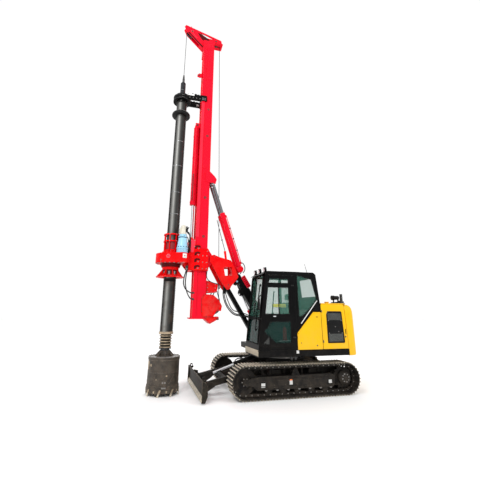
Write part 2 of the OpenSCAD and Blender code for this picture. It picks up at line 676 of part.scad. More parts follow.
module lower_link() {
  l = span(link_foot, link_head);
  color(black) place() difference() {
    union() {
      bar(link_foot, link_head) xz(-58, 58) polygon([[0, -50], [l, -50], [l, 50], [0, 50]]);
      ycyl(link_foot[0], link_foot[1], -100, 100, 62);
      ycyl(link_head[0], link_head[1], -58, 58, 60);
    }
    ycyl(link_foot[0], link_foot[1], -106, 106, 35.05);
    ycyl(link_head[0], link_head[1], -106, 106, 32.4);
  }
}
module boom_cylinder() {
  color(red) place() bar(boom_cyl_foot, boom_cyl_head) difference() {
    union() {
      tube_x(50, 900, 44, 35);
      rod_x(30, 60, 36);
      ycyl(0, 0, -48, 48, 44);
      tube_x(870, 900, 45, 22);
    }
    ycyl(0, 0, -49, 49, 24.05);
  }
}
module boom_cylinder_rod() {
  color(chrome_c) place() bar(boom_cyl_foot, boom_cyl_head) {
    l = span(boom_cyl_foot, boom_cyl_head);
    rod_x(760, l - 36, 21);
    rod_x(740, 765, 34);
    difference() {
      ycyl(l, 0, -46, 46, 42);
      ycyl(l, 0, -47, 47, 24.4);
    }
  }
}
module bracket_outline() polygon([[1957, 3111], [1839, 3150], [1706, 3098], [1519, 3055], [1385, 3022], [1316, 2909], [1248, 2758], [1180, 2607], [1233, 2530],
  [1454, 2277], [1494, 2288], [1626, 2444], [1885, 2898], [1941, 2957]]);
module luffing_bracket() {
  color(red) place() {
    both_y() difference() {
      xz(203, 225) bracket_outline();
      xz(200, 230) polygon([[1579, 2842], [1366, 2850], [1359, 2634], [1538, 2629]]);
      ycyl(mast_pivot[0], mast_pivot[1], 200, 230, 45);
      ycyl(link_head[0], link_head[1], 200, 230, 32);
    }
    // cross boxes, the boom lug and the lug of the luffing cylinders
    difference() {
      union() {
        xz(-204, 204) polygon([[1296, 2866], [1322, 2912], [1430, 2950], [1452, 2870]]);
        box3(1262, 1344, -204, 204, 2600, 2700);
        xz(-55, 55) polygon([[1100, 2560], [1262, 2560], [1360, 2870], [1290, 2870], [1090, 2660]]);
        ycyl(boom_head[0], boom_head[1], -55, 55, 72);
        xz(-66, 66) polygon([[1122, 2747], [1330, 2765], [1330, 2880], [1300, 2880], [1280, 2862], [1168, 2852], [1122, 2883]]);
        ycyl(luff_foot[0], luff_foot[1], -92, 92, 70);
      }
      ycyl(boom_head[0], boom_head[1], -56, 56, 36.05);
      ycyl(luff_foot[0], luff_foot[1], -93, 93, 40);
    }
    ycyl(mast_pivot[0], mast_pivot[1], -240, 240, 45);
    ycyl(link_head[0], link_head[1], -240, 240, 32);
    ycyl(luff_foot[0], luff_foot[1], -196, 196, 40);
  }
}

// ---- mast ----------------------------------------------------------------
module mast() {
  color(red) place() {
    difference() {
      union() {
        box3(mast_x0, mast_x1, -mast_half_w, mast_half_w, mast_z0, mast_z1);
        // head block
        xz(-mast_half_w, mast_half_w) polygon([[mast_x0, mast_z1 - 1], [mast_x0, 10085], [2360, 10085], [2360, 9600], [mast_x1 - 1, 9560]]);
        // front rails
        both_y() box3(mast_x1 - 1, 2336, 110, 196, mast_z0, 9560);
        both_y() box3(2240, 2336, mast_half_w - 1, 196, mast_z0, 9560);
        // foot stop
        box3(mast_x0 - 12, 2400, -196, 196, mast_z0, mast_z0 + 28);
        // pivot lugs
        both_y() xz(140, 179) polygon([[mast_x0 + 5, 2760], [mast_x0 + 5, 3330], [1880, 3135], [1790, 3135], [1750, 3042], [1790, 2960], [1870, 2940]]);
        // luffing cylinder bracket
        both_y() {
          xz(mast_half_w + 1, 199) polygon([[2144, 5462], [2011, 5479], [1870, 5343], [1817, 5259], [1847, 5126], [1937, 5140], [2134, 5177]]);
          xz(mast_half_w - 1, mast_half_w + 2) polygon([[2134, 5180], [2140, 5458], [mast_x0 + 2, 5476], [mast_x0 + 2, 5160]]);
        }
        xz(-mast_half_w - 2, mast_half_w + 2) polygon([[1874, 5345], [2011, 5478], [2011, 5458], [1888, 5339]]);
      }
      // hollow
      box3(mast_x0 + 12, mast_x1 - 12, -mast_half_w + 12, mast_half_w - 12, mast_z0 + 30, 9560);
      ycyl(mast_pivot[0], mast_pivot[1], 139, 181, 45.05);
      ycyl(mast_pivot[0], mast_pivot[1], -181, -139, 45.05);
    }
    // ends of the luffing pin; its middle is in the rods' eyes, where the linkage is opened
    both_y() ycyl(luff_head[0], luff_head[1], 181, 206, 38);
    // top bracket of the crowd cylinder
    difference() {
      union() {
        both_y() box3(mast_x1 - 1, 2470, 62, 84, 6900, 7040);
        ycyl(2416, 6970, -90, 90, 24);
      }
    }
  }
}
module jib_side() polygon([[2948, 10640], [2990, 10560], [2905, 10370], [2361, 9816], [2361, 10086.5], [1722, 10086.5], [1770, 10290]]);
module mast_jib() {
  color(red) place() {
    both_y() difference() {
      xz(70, 86) jib_side();
      xz(69, 87) polygon([[2509, 10462], [2000, 10264], [2268, 10282]]);
      ycyl(2735, 10425, 69, 87, 22);
      ycyl(1940, 10215, 69, 87, 22);
    }
    ycyl(2735, 10425, -92, 92, 22);
    ycyl(1940, 10215, -92, 92, 22);
    difference() {
      box3(1722, 2350, -150, 150, 10086.5, 10104);
      box3(1780, 2130, -36, 36, 10080, 10110);
    }
    box3(2290, 2350, -71, 71, 10100, 10240);
    xz(-71, 71) polygon([[2365, 9900], [2365, 9826], [2500, 9965], [2485, 9985]]);
  }
}
module sheave(x, z, r) {
  color(steel) place() translate([x, 0, z]) rotate([-90, 0, 0]) difference() {
    rotate_extrude($fn = 96) polygon([[0, -30], [48, -30], [48, -12], [r - 44, -12], [r - 28, -24], [r, -24], [r - 18, -8], [r - 18, 8], [r, 24], [r - 28, 24], [r - 44, 12], [48, 12], [48, 30], [0, 30]]);
    translate([0, 0, -31]) cylinder(r = 22.05, h = 62, $fn = 48);
  }
}
module front_sheave() sheave(2735, 10425, 180);
module rear_sheave() sheave(1940, 10215, 140);

module winch_frame() {
  // side plates on the mast's sides
  y0 = mast_half_w + 1;
  color(red) place() {
    both_y() difference() {
      xz(y0, y0 + 14) polygon([[2121, 1723], [2121, 2096], [2036, 2169], [1821, 2149], [1678, 2032], [1599, 1890], [1622, 1772], [1723, 1772], [1818, 1636], [1867, 1618], [2064, 1618]]);
      ycyl(drum_c[0], drum_c[1], y0 - 1, y0 + 15, 40.05);
    }
    // gearbox on the far side, bearing cover on the cab side
    ycyl(drum_c[0], drum_c[1], y0 + 13.5, y0 + 24, 128, 48);
    ycyl(drum_c[0], drum_c[1], -266, -y0 - 13.5, 150, 48);
    ycyl(drum_c[0], drum_c[1], -360, -265, 88, 48);
    // bracket below the drum
    xz(-y0 - 1, y0 + 1) polygon([[1668, 1606], [1717, 1564], [1888, 1475], [1996, 1560], [1996, 1650], [1840, 1650], [1722, 1630], [1680, 1640]]);
    // cross plate and the hose guard above the drum
    box3(1980, mast_x0 - 0.5, -y0 - 1, y0 + 1, 2080, 2160);
    difference() {
      xz(-112, 112) polygon([[mast_x0 - 1, 2100], [mast_x0 - 1, 2491], [1992, 2505], [1830, 2462], [1690, 2425], [1706, 2300], [1730, 2216], [1985, 2198], [1985, 2100]]);
      xz(-98, 98) polygon([[mast_x0 - 18, 2210], [mast_x0 - 18, 2480], [1992, 2490], [1835, 2448], [1600, 2390], [1600, 2230], [1736, 2230]]);
    }
  }
}
module winch_drum() {
  color(steel) place() translate([drum_c[0], 0, drum_c[1]]) rotate([-90, 0, 0])
    rotate_extrude($fn = 96) polygon([[0, -190], [40, -190], [40, -165], [188, -165], [188, -150], [168, -150], [168, 150], [188, 150], [188, 165], [40, 165], [40, 190], [0, 190]]);
}
module winch_rope() {
  color(black) place() {
    // rear run, from the drum up to the rear sheave
    p = [drum_c[0] - 175.2, 1900]; q = [1940 - 129.5, 10215];
    bar(p, q) rod_x(0, span(p, q), 7);
  }
}
module hoist_rope() {
  color(black) place() zcyl(kelly_x, 0, 8720, 10420, 7, 24);
}
module crowd_cylinder() {
  color(red) place() difference() {
    union() {
      zcyl(2420, 0, 4530, 6900, 82);
      zcyl(2420, 0, 4510, 4630, 90);
      ycyl(2416, 6970, -58, 58, 45);
      box3(2376, 2456, -50, 50, 6890, 6980);
    }
    zcyl(2420, 0, 4610, 6850, 68);
    zcyl(2420, 0, 4500, 4620, 40.2);
    ycyl(2416, 6970, -59, 59, 24.05);
  }
}
module crowd_cylinder_rod() {
  color(chrome_c) place() {
    zcyl(2420, 0, carriage_z1 + 0.5, 5850, 40);
    zcyl(2420, 0, carriage_z1 + 0.5, carriage_z1 + 26, 60);
    zcyl(2420, 0, 5740, 5850, 67.5);
  }
}
module luffing_cylinder(y) {
  color(red) place() translate([0, y, 0]) bar(luff_foot, luff_head) difference() {
    union() {
      tube_x(84, 1560, 63, 51);
      rod_x(50, 98, 43);
      rod_x(85, 100, 52);
      ycyl(0, 0, -42, 42, 86);
      tube_x(1490, 1572, 68, 42.2);
      // port blocks
      translate([120, -20, 50]) cube([70, 40, 34]);
      translate([1440, -20, 50]) cube([60, 40, 34]);
    }
    ycyl(0, 0, -43, 43, 40.05);
  }
}
module luffing_cylinder_left() luffing_cylinder(luff_y);
module luffing_cylinder_right() luffing_cylinder(-luff_y);
module luffing_rod(y) {
  l = span(luff_foot, luff_head);
  color(chrome_c) place() translate([0, y, 0]) bar(luff_foot, luff_head) {
    rod_x(1290, l - 55, 42);
    rod_x(1250, 1300, 50.5);
    ycyl(l, 0, -36, 36, 60);
    // its half of the pin's middle
    ycyl(l, 0, y > 0 ? 0.5 - y : -39, y > 0 ? 39 : -y - 0.5, 38);
  }
}
module luffing_rod_left() luffing_rod(luff_y);
module luffing_rod_right() luffing_rod(-luff_y);

// ---- rotary head ---------------------------------------------------------
module head_carriage() {
  color(red) place() {
    // side plates run outside the rails, claws hold them from behind
    both_y() {
      xz(202, carriage_half_w) polygon([[1988, carriage_z0], [1988, 3285], [2200, 3290], [2330, 3330], [2330, carriage_z1], [2487, carriage_z1], [2487, carriage_z0]]);
      box3(2160, 2234, 188, 203, carriage_z0 + 40, carriage_z0 + 200);
      box3(2160, 2234, 188, 203, 3080, 3240);
      for (z = [carriage_z0 + 30, carriage_z1 - 210]) box3(2345, 2395, 110, 203, z, z + 160);
      // gussets under the gearbox
      xz(150, 170) polygon([[2486, carriage_z0 + 14], [2486, gear_z0 - 1], [2600, gear_z0 - 1], [2600, gear_z0 - 30]]);
    }
    box3(2394, 2487, -203, 203, carriage_z0, carriage_z1);
    // foot of the crowd rod
    box3(2352, 2395, -100, 100, carriage_z1 - 40, carriage_z1);
  }
}
module rotary_gearbox() {
  color(red) place() difference() {
    union() {
      translate([0, 0, gear_z0]) linear_extrude(gear_z1 - gear_z0) {
        translate([kelly_x, 0]) circle(r = gear_r, $fn = 96);
        polygon([[2487.5, -178], [2487.5, 340], [2560, 430], [2670, 475], [2800, 440], [2905, 380], [2905, -178]]);
      }
      // base rings of the guide cage
      zcyl(kelly_x, 0, gear_z1 - 1, gear_z1 + 60, 240);
      zcyl(kelly_x, 0, gear_z1 + 59, gear_z1 + 110, 200);
      // cage rings and ribs
      zcyl(kelly_x, 0, 3440, 3470, 225);
      zcyl(kelly_x, 0, cage_top - 30, cage_top, 225);
      for (i = [0 : 7]) translate([kelly_x, 0, gear_z1 + 50]) rotate(i * 45 + 22.5) translate([180, -9, 0]) cube([38, 18, cage_top - gear_z1 - 55]);
      // hub cone below
      translate([kelly_x, 0, gear_z0 - 100]) cylinder(r1 = 226, r2 = 253, h = 101, $fn = 96);
    }
    zcyl(kelly_x, 0, 2700, cage_top + 10, kelly_r + 26);
    zcyl(kelly_x, 0, 2700, 3056, 215);
    // bite for the motor
    zcyl(2670, 285, gear_z1, cage_top + 1, 155);
  }
}
module rotary_motor() {
  color(blue) place() {
    zcyl(2670, 285, gear_z1 + 0.5, 3300, 145);
    translate([2670, 285, 3300]) cylinder(r1 = 140, r2 = 110, h = 221, $fn = 64);
    zcyl(2670, 285, 3520, 3560, 115);
    zcyl(2670, 285, 3560, 3610, 95);
  }
  color(cream) place() {
    zcyl(2670, 285, 3610, 3850, 78);
    box3(2672, 2768, 240, 330, 3640, 3760);
  }
}
module drive_sleeve() {
  color(red) place() difference() {
    union() {
      zcyl(kelly_x, 0, 2740, 3050, 205);
      zcyl(kelly_x, 0, 2560, 2741, 190);
      // flared foot: open gussets on a ring
      difference() {
        zcyl(kelly_x, 0, 2555, 2577, 345, 96);
        zcyl(kelly_x, 0, 2550, 2580, 250);
      }
      for (i = [0 : 7]) translate([kelly_x, 0, 0]) rotate(i * 45 + 10) rotate([90, 0, 0]) translate([0, 0, -8]) linear_extrude(16)
        polygon([[180, 2556], [342, 2556], [342, 2570], [208, 2742], [180, 2742]]);
    }
    zcyl(kelly_x, 0, 2400, 3100, kelly_r + 22);
    // key slots
    for (i = [0 : 2]) translate([kelly_x, 0, 2400]) rotate(i * 120 + 30) translate([150, -22, 0]) cube([34, 44, 700]);
  }
}

// ---- kelly ---------------------------------------------------------------
module kelly_guide() {
  color(black) place() {
    difference() {
      union() {
        zcyl(kelly_x, 0, 7700, 7860, 255);
        both_y() box3(2350, kelly_x - 60, 152, 210, 7752, 7859);
        both_y() xz(160, 206) polygon([[2350, 7855], [2350, 7930], [2750, 7930], [2782, 7858]]);
      }
      zcyl(kelly_x, 0, 7600, 7940, kelly_r + 25.5);
    }
    // rail shoes in front of, beside and behind the rails
    both_y() {
      box3(2346, 2362, 105, 226, 7752, 7930);
      box3(2220, 2360, 204, 226, 7752, 7930);
      box3(2190, 2234, 186, 226, 7752, 7930);
    }
  }
}
module kelly_outer() {
  color([0.22, 0.23, 0.24]) place() difference() {
    union() {
      zcyl(kelly_x, 0, kelly_z0, kelly_z1, kelly_r);
      // drive keys
      for (i = [0 : 2]) translate([kelly_x, 0, kelly_z0 + 60]) rotate(i * 120 + 30) translate([kelly_r - 6, -16, 0]) cube([22, 32, 5740]);
      // bottom collar
      zcyl(kelly_x, 0, kelly_z0, kelly_z0 + 50, 165);
      // shock pad ring and its cone
      zcyl(kelly_x, 0, 7200, 7291, 264);
      translate([kelly_x, 0, 7290]) cylinder(r1 = 264, r2 = 195, h = 60, $fn = 64);
      // collars below and above the guide's ring
      zcyl(kelly_x, 0, 7630, 7690, 168);
      zcyl(kelly_x, 0, 7867, kelly_z1, 195);
    }
    zcyl(kelly_x, 0, kelly_z0 - 10, kelly_z1 + 10, kelly_r - kelly_wall);
  }
}
module kelly_inner() {
  color([0.25, 0.25, 0.26]) place() {
    zcyl(kelly_x, 0, 905, stub_z1, stub_r);
    // seat of the damper spring
    zcyl(kelly_x, 0, 932, 945, 145);
    // guide plates inside the outer tube
    for (z = [1700, 7500]) zcyl(kelly_x, 0, z, z + 60, kelly_r - kelly_wall - 6);
    translate([kelly_x - 70, -70, 765]) cube([140, 140, 141]);
    // bucket pin
    ycyl(kelly_x, 845, -112, 112, 20);
  }
}
module damper_spring() {
  color([0.66, 0.56, 0.42]) place() difference() {
    union() {
      for (i = [0 : 4]) zcyl(kelly_x, 0, 946 + i * 61, 946 + i * 61 + 44, 145);
      zcyl(kelly_x, 0, 946, 1234, 116);
    }
    zcyl(kelly_x, 0, 940, 1250, stub_r + 2);
  }
}
module drilling_bucket() {
  color(rust) place() {
    // shell, open below
    difference() {
      union() {
        zcyl(kelly_x, 0, 128, bucket_top - 25.1, bucket_r - 8, 96);
        zcyl(kelly_x, 0, 128, 196, bucket_r + 5, 96);
        zcyl(kelly_x, 0, bucket_top - 60, bucket_top - 25.1, bucket_r, 96);
        // lugs of the gate's hinge
        for (x = [62, -78]) {
          translate([kelly_x + x, -450, 92]) cube([16, 78, 90]);
          translate([kelly_x + x, -450, 130]) cube([16, 104, 52]);
        }
      }
      zcyl(kelly_x, 0, 80, bucket_top, bucket_r - 26, 96);
      translate([kelly_x - 90, -412, 125]) rotate([0, 90, 0]) cylinder(r = 18, h = 180, $fn = 32);
    }
    translate([kelly_x - 84, -412, 125]) rotate([0, 90, 0]) cylinder(r = 18, h = 168, $fn = 32);
    // lid with the kelly box and its plates
    difference() {
      union() {
        zcyl(kelly_x, 0, bucket_top - 25, bucket_top, bucket_r, 96);
        translate([kelly_x - 96, -96, bucket_top - 1]) cube([192, 192, 111]);
        for (a = [0 : 90 : 270]) translate([kelly_x, 0, 0]) rotate(a) rotate([90, 0, 0]) translate([0, 0, -10]) linear_extrude(20)
          polygon([[80, bucket_top - 1], [232, bucket_top - 1], [88, 928], [80, 928]]);
        for (a = [45 : 90 : 315]) translate([kelly_x, 0, 0]) rotate(a) rotate([90, 0, 0]) translate([0, 0, -10]) linear_extrude(20)
          polygon([[116, bucket_top - 1], [262, bucket_top - 1], [136, 886], [116, 886]]);
      }
      // openings in the lid
      for (a = [22.5 : 90 : 337.5]) translate([kelly_x, 0, bucket_top - 40]) rotate(a) translate([262, 0, 0]) cylinder(r = 52, h = 60, $fn = 32);
      translate([kelly_x - 72, -72, 690]) cube([144, 144, 250]);
      ycyl(kelly_x, 845, -116, 116, 22);
    }
  }
}
module bucket_gate() {
  color(rust) place() {
    difference() {
      union() {
        zcyl(kelly_x, 0, 62, 122, bucket_r + 2, 96);
        translate([kelly_x - 50, -412, 66]) cube([100, 90, 54]);
        translate([kelly_x - 56, -412, 125]) rotate([0, 90, 0]) cylinder(r = 33, h = 112, $fn = 48);
      }
      translate([kelly_x - 60, -412, 125]) rotate([0, 90, 0]) cylinder(r = 18.05, h = 120, $fn = 32);
      // mouths where the spoil comes in
      for (a = [0, 180]) translate([kelly_x, 0, 50]) rotate(a) translate([70, 24, 0]) cube([230, 120, 90]);
    }
    // teeth: [angle along the bottom, radius]
    for (t = [[0, 330], [30, 330], [60, 330], [180, 330], [210, 330], [240, 330], [0, 200], [180, 200]])
      translate([kelly_x, 0, 0]) rotate(t[0]) translate([t[1] - 60, 0, 0]) rotate([90, 0, 0]) translate([0, 0, -22]) linear_extrude(44)
        polygon([[0, 64], [56, 64], [46, 0], [30, 0]]);
    zcyl(kelly_x, 0, 5, 70, 28, 32);
  }
}
module rope_swivel() {
  color(steel) place() {
    zcyl(kelly_x, 0, stub_z1, stub_z1 + 30, 62);
    zcyl(kelly_x, 0, stub_z1 + 30, stub_z1 + 250, 34);
    zcyl(kelly_x, 0, stub_z1 + 250, stub_z1 + 325, 24);
  }
}

carbody();
slew_ring();
track_frame_left();
track_frame_right();
track_left();
track_right();
front_idler_left();
front_idler_right();
drive_sprocket_left();
drive_sprocket_right();
track_rollers_left();
track_rollers_right();
dozer_blade();
blade_arms();
blade_cylinder();
blade_cylinder_rod();
house_deck();
cab_shell();
cab_windows();
cab_door();
cab_door_glass();
operator_seat();
engine_block();
side_panel();
engine_door();
engine_hood();
right_side_cover();
counterweight();
exhaust_pipe();
air_precleaner();
upper_boom();
lower_link();
luffing_bracket();
boom_cylinder();
boom_cylinder_rod();
mast();
mast_jib();
front_sheave();
rear_sheave();
winch_frame();
winch_drum();
winch_rope();
hoist_rope();
crowd_cylinder();
crowd_cylinder_rod();
luffing_cylinder_left();
luffing_cylinder_right();
luffing_rod_left();
luffing_rod_right();
head_carriage();
rotary_gearbox();
rotary_motor();
drive_sleeve();
kelly_guide();
kelly_outer();
kelly_inner();
damper_spring();
drilling_bucket();
bucket_gate();
rope_swivel();
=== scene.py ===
import bpy, bmesh, math, random
from mathutils import Vector, Matrix, Quaternion
from mathutils.geometry import tessellate_polygon


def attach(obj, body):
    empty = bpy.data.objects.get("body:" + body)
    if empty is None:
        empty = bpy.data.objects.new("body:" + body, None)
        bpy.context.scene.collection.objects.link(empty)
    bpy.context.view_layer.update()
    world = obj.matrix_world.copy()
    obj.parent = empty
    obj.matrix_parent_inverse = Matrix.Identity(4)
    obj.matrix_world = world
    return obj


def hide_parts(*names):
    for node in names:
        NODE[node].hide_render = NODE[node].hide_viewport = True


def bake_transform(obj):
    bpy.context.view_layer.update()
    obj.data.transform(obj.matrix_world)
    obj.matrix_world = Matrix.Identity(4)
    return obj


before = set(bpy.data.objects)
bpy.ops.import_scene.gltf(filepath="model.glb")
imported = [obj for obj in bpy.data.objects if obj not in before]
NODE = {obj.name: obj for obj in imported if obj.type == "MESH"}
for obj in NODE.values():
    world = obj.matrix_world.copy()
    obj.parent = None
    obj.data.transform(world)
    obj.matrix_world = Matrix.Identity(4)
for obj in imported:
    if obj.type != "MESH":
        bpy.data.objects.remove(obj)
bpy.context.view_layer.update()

# ---------------------------------------------------------------- frame
# Everything below is written in the rig's own millimetres: x ahead of the
# slew axis, y to the cab side, z above the ground.
XM = 730.0


def W(x, y, z):
    return Vector(((x - XM) / 1000.0, y / 1000.0, z / 1000.0))


# ---------------------------------------------------------------- camera
def make_camera():
    yaw, pitch, roll = 0.263306, 0.319268, 0.007689
    f, px, py = 319.166, 234.825, 204.107
    fwd = Vector((-math.sin(yaw) * math.cos(pitch), -math.cos(yaw) * math.cos(pitch), math.sin(pitch)))
    right = fwd.cross(Vector((0, 0, 1))).normalized()
    up = right.cross(fwd)
    r2 = right * math.cos(roll) + up * math.sin(roll)
    u2 = up * math.cos(roll) - right * math.sin(roll)
    cam = bpy.data.cameras.new("camera")
    cam.sensor_fit = "HORIZONTAL"
    cam.sensor_width = 36.0
    cam.lens = f * 36.0 / 480.0
    cam.shift_x = (240.0 - px) / 480.0
    cam.shift_y = (py - 240.0) / 480.0
    cam.clip_end = 200
    ob = bpy.data.objects.new("camera", cam)
    bpy.context.scene.collection.objects.link(ob)
    back = -fwd
    m = Matrix(((r2.x, u2.x, back.x, 3.47499 - XM / 1000), (r2.y, u2.y, back.y, 8.30862), (r2.z, u2.z, back.z, 1.80732), (0, 0, 0, 1)))
    ob.matrix_world = m
    bpy.context.scene.camera = ob
    return ob


camera = make_camera()

# ---------------------------------------------------------------- materials
def new_mat(name):
    m = bpy.data.materials.new(name)
    m.use_nodes = True
    nt = m.node_tree
    nt.nodes.clear()
    out = nt.nodes.new("ShaderNodeOutputMaterial")
    p = nt.nodes.new("ShaderNodeBsdfPrincipled")
    nt.links.new(p.outputs[0], out.inputs[0])
    return m, nt, p


def node(nt, kind, **inputs):
    n = nt.nodes.new(kind)
    for k, v in inputs.items():
        if k.startswith("_"):
            setattr(n, k[1:], v)
        else:
            n.inputs[k.replace("__", " ")].default_value = v
    return n


def noise(nt, co, scale, detail=4.0, rough=0.55):
    n = nt.nodes.new("ShaderNodeTexNoise")
    n.inputs["Scale"].default_value = scale
    n.inputs["Detail"].default_value = detail
    n.inputs["Roughness"].default_value = rough
    nt.links.new(co, n.inputs["Vector"])
    return n.outputs["Fac"]


def ramp(nt, fac, stops):
    r = nt.nodes.new("ShaderNodeValToRGB")
    el = r.color_ramp.elements
    while len(el) < len(stops):
        el.new(0.5)
    for e, (p, c) in zip(el, stops):
        e.position = p
        e.color = (c, c, c, 1) if not hasattr(c, "__len__") else (*c[:3], 1)
    nt.links.new(fac, r.inputs[0])
    return r.outputs[0]


def mixc(nt, fac, a, b, blend="MIX"):
    m = nt.nodes.new("ShaderNodeMix")
    m.data_type = "RGBA"
    m.blend_type = blend
    for key, v in ((6, a), (7, b)):
        if hasattr(v, "__len__"):
            m.inputs[key].default_value = (*v[:3], 1)
        else:
            nt.links.new(v, m.inputs[key])
    if isinstance(fac, float):
        m.inputs[0].default_value = fac
    else:
        nt.links.new(fac, m.inputs[0])
    return m.outputs[2]


def math_n(nt, op, a, b=None, clamp=False):
    m = nt.nodes.new("ShaderNodeMath")
    m.operation = op
    m.use_clamp = clamp
    for i, v in ((0, a), (1, b)):
        if v is None:
            continue
        if isinstance(v, (int, float)):
            m.inputs[i].default_value = v
        else:
            nt.links.new(v, m.inputs[i])
    return m.outputs[0]


def height_mask(nt, co, z0, z1):
    """1 below z0, 0 above z1, by the part's own height in metres"""
    s = nt.nodes.new("ShaderNodeSeparateXYZ")
    nt.links.new(co, s.inputs[0])
    r = nt.nodes.new("ShaderNodeMapRange")
    r.inputs["From Min"].default_value = z0
    r.inputs["From Max"].default_value = z1
    r.inputs["To Min"].default_value = 1.0
    r.inputs["To Max"].default_value = 0.0
    nt.links.new(s.outputs[2], r.inputs["Value"])
    return r.outputs[0]


def bump(nt, p, height, strength, dist=0.002, edge=0.0):
    """surface relief, on edges that are broken by a small radius"""
    b = nt.nodes.new("ShaderNodeBump")
    b.inputs["Strength"].default_value = strength
    b.inputs["Distance"].default_value = dist
    nt.links.new(height, b.inputs["Height"])
    if edge:
        bv = nt.nodes.new("ShaderNodeBevel")
        bv.samples = 4
        bv.inputs["Radius"].default_value = edge
        nt.links.new(bv.outputs[0], b.inputs["Normal"])
    nt.links.new(b.outputs[0], p.inputs["Normal"])


def edge_mask(nt, radius):
    """1 on outer and inner edges, 0 on flats"""
    bv = nt.nodes.new("ShaderNodeBevel")
    bv.samples = 4
    bv.inputs["Radius"].default_value = radius
    g = nt.nodes.new("ShaderNodeNewGeometry")
    d = nt.nodes.new("ShaderNodeVectorMath")
    d.operation = "DOT_PRODUCT"
    nt.links.new(bv.outputs[0], d.inputs[0])
    nt.links.new(g.outputs["True Normal"], d.inputs[1])
    return ramp(nt, math_n(nt, "SUBTRACT", 1.0, d.outputs["Value"], True), [(0.015, 0.0), (0.14, 1.0)])


def surface(name, color, rough=0.4, metal=0.0, vary=0.12, rough_vary=0.15, scale=3.0, fine=60.0, bump_s=0.15,
            dust=0.0, dust_z=(0.2, 1.2), dust_color=(0.36, 0.31, 0.25), wear=0.0, wear_color=(0.35, 0.34, 0.33),
            coat=0.0, streak=0.0, chips=0.0, chip_color=(0.25, 0.24, 0.23), spec=0.5, edge=0.005, emit=0.0):
    m, nt, p = new_mat(name)
    tc = nt.nodes.new("ShaderNodeTexCoord")
    co = tc.outputs["Object"]
    big = noise(nt, co, scale, 5.0)
    small = noise(nt, co, fine, 4.0, 0.6)
    dark = [c * (1 - vary) for c in color]
    light = [min(1.0, c * (1 + vary)) for c in color]
    col = mixc(nt, ramp(nt, big, [(0.35, 0.0), (0.65, 1.0)]), dark, light)
    rough_f = math_n(nt, "ADD", math_n(nt, "MULTIPLY", small, rough_vary), rough - rough_vary / 2)
    if streak:
        mp = nt.nodes.new("ShaderNodeMapping")
        mp.inputs["Scale"].default_value = (14.0, 14.0, 0.7)
        nt.links.new(co, mp.inputs[0])
        st = noise(nt, mp.outputs[0], 3.0, 6.0, 0.65)
        k = math_n(nt, "MULTIPLY", ramp(nt, st, [(0.5, 0.0), (0.75, 1.0)]), streak, True)
        col = mixc(nt, k, col, [c * 0.55 for c in color])
    if chips:
        ch = noise(nt, co, 38.0, 8.0, 0.7)
        k = ramp(nt, ch, [(0.66 - 0.05 * chips, 0.0), (0.70 - 0.05 * chips, 1.0)])
        k = math_n(nt, "MULTIPLY", k, min(1.0, 0.9 * chips), True)
        col = mixc(nt, k, col, chip_color)
        rough_f = math_n(nt, "ADD", rough_f, math_n(nt, "MULTIPLY", k, 0.25), True)
    if wear:
        pt = edge_mask(nt, 0.007)
        k = math_n(nt, "MULTIPLY", pt, ramp(nt, noise(nt, co, 16.0, 6.0, 0.7), [(0.38, 0.0), (0.6, 1.0)]), True)
        k = math_n(nt, "MULTIPLY", k, wear, True)
        col = mixc(nt, k, col, wear_color)
    if dust:
        h = height_mask(nt, co, *dust_z)
        dn = ramp(nt, noise(nt, co, 7.0, 7.0, 0.65), [(0.35, 0.0), (0.7, 1.0)])
        k = math_n(nt, "MULTIPLY", math_n(nt, "MULTIPLY", h, dn), dust, True)
        col = mixc(nt, k, col, dust_color)
        rough_f = math_n(nt, "ADD", rough_f, math_n(nt, "MULTIPLY", k, 0.4), True)
    nt.links.new(col, p.inputs["Base Color"])
    nt.links.new(rough_f, p.inputs["Roughness"])
    p.inputs["Metallic"].default_value = metal
    p.inputs["Coat Weight"].default_value = coat
    p.inputs["Coat Roughness"].default_value = 0.08
    p.inputs["Specular IOR Level"].default_value = spec
    if bump_s:
        bump(nt, p, small, bump_s, 0.0012, edge)
    return m


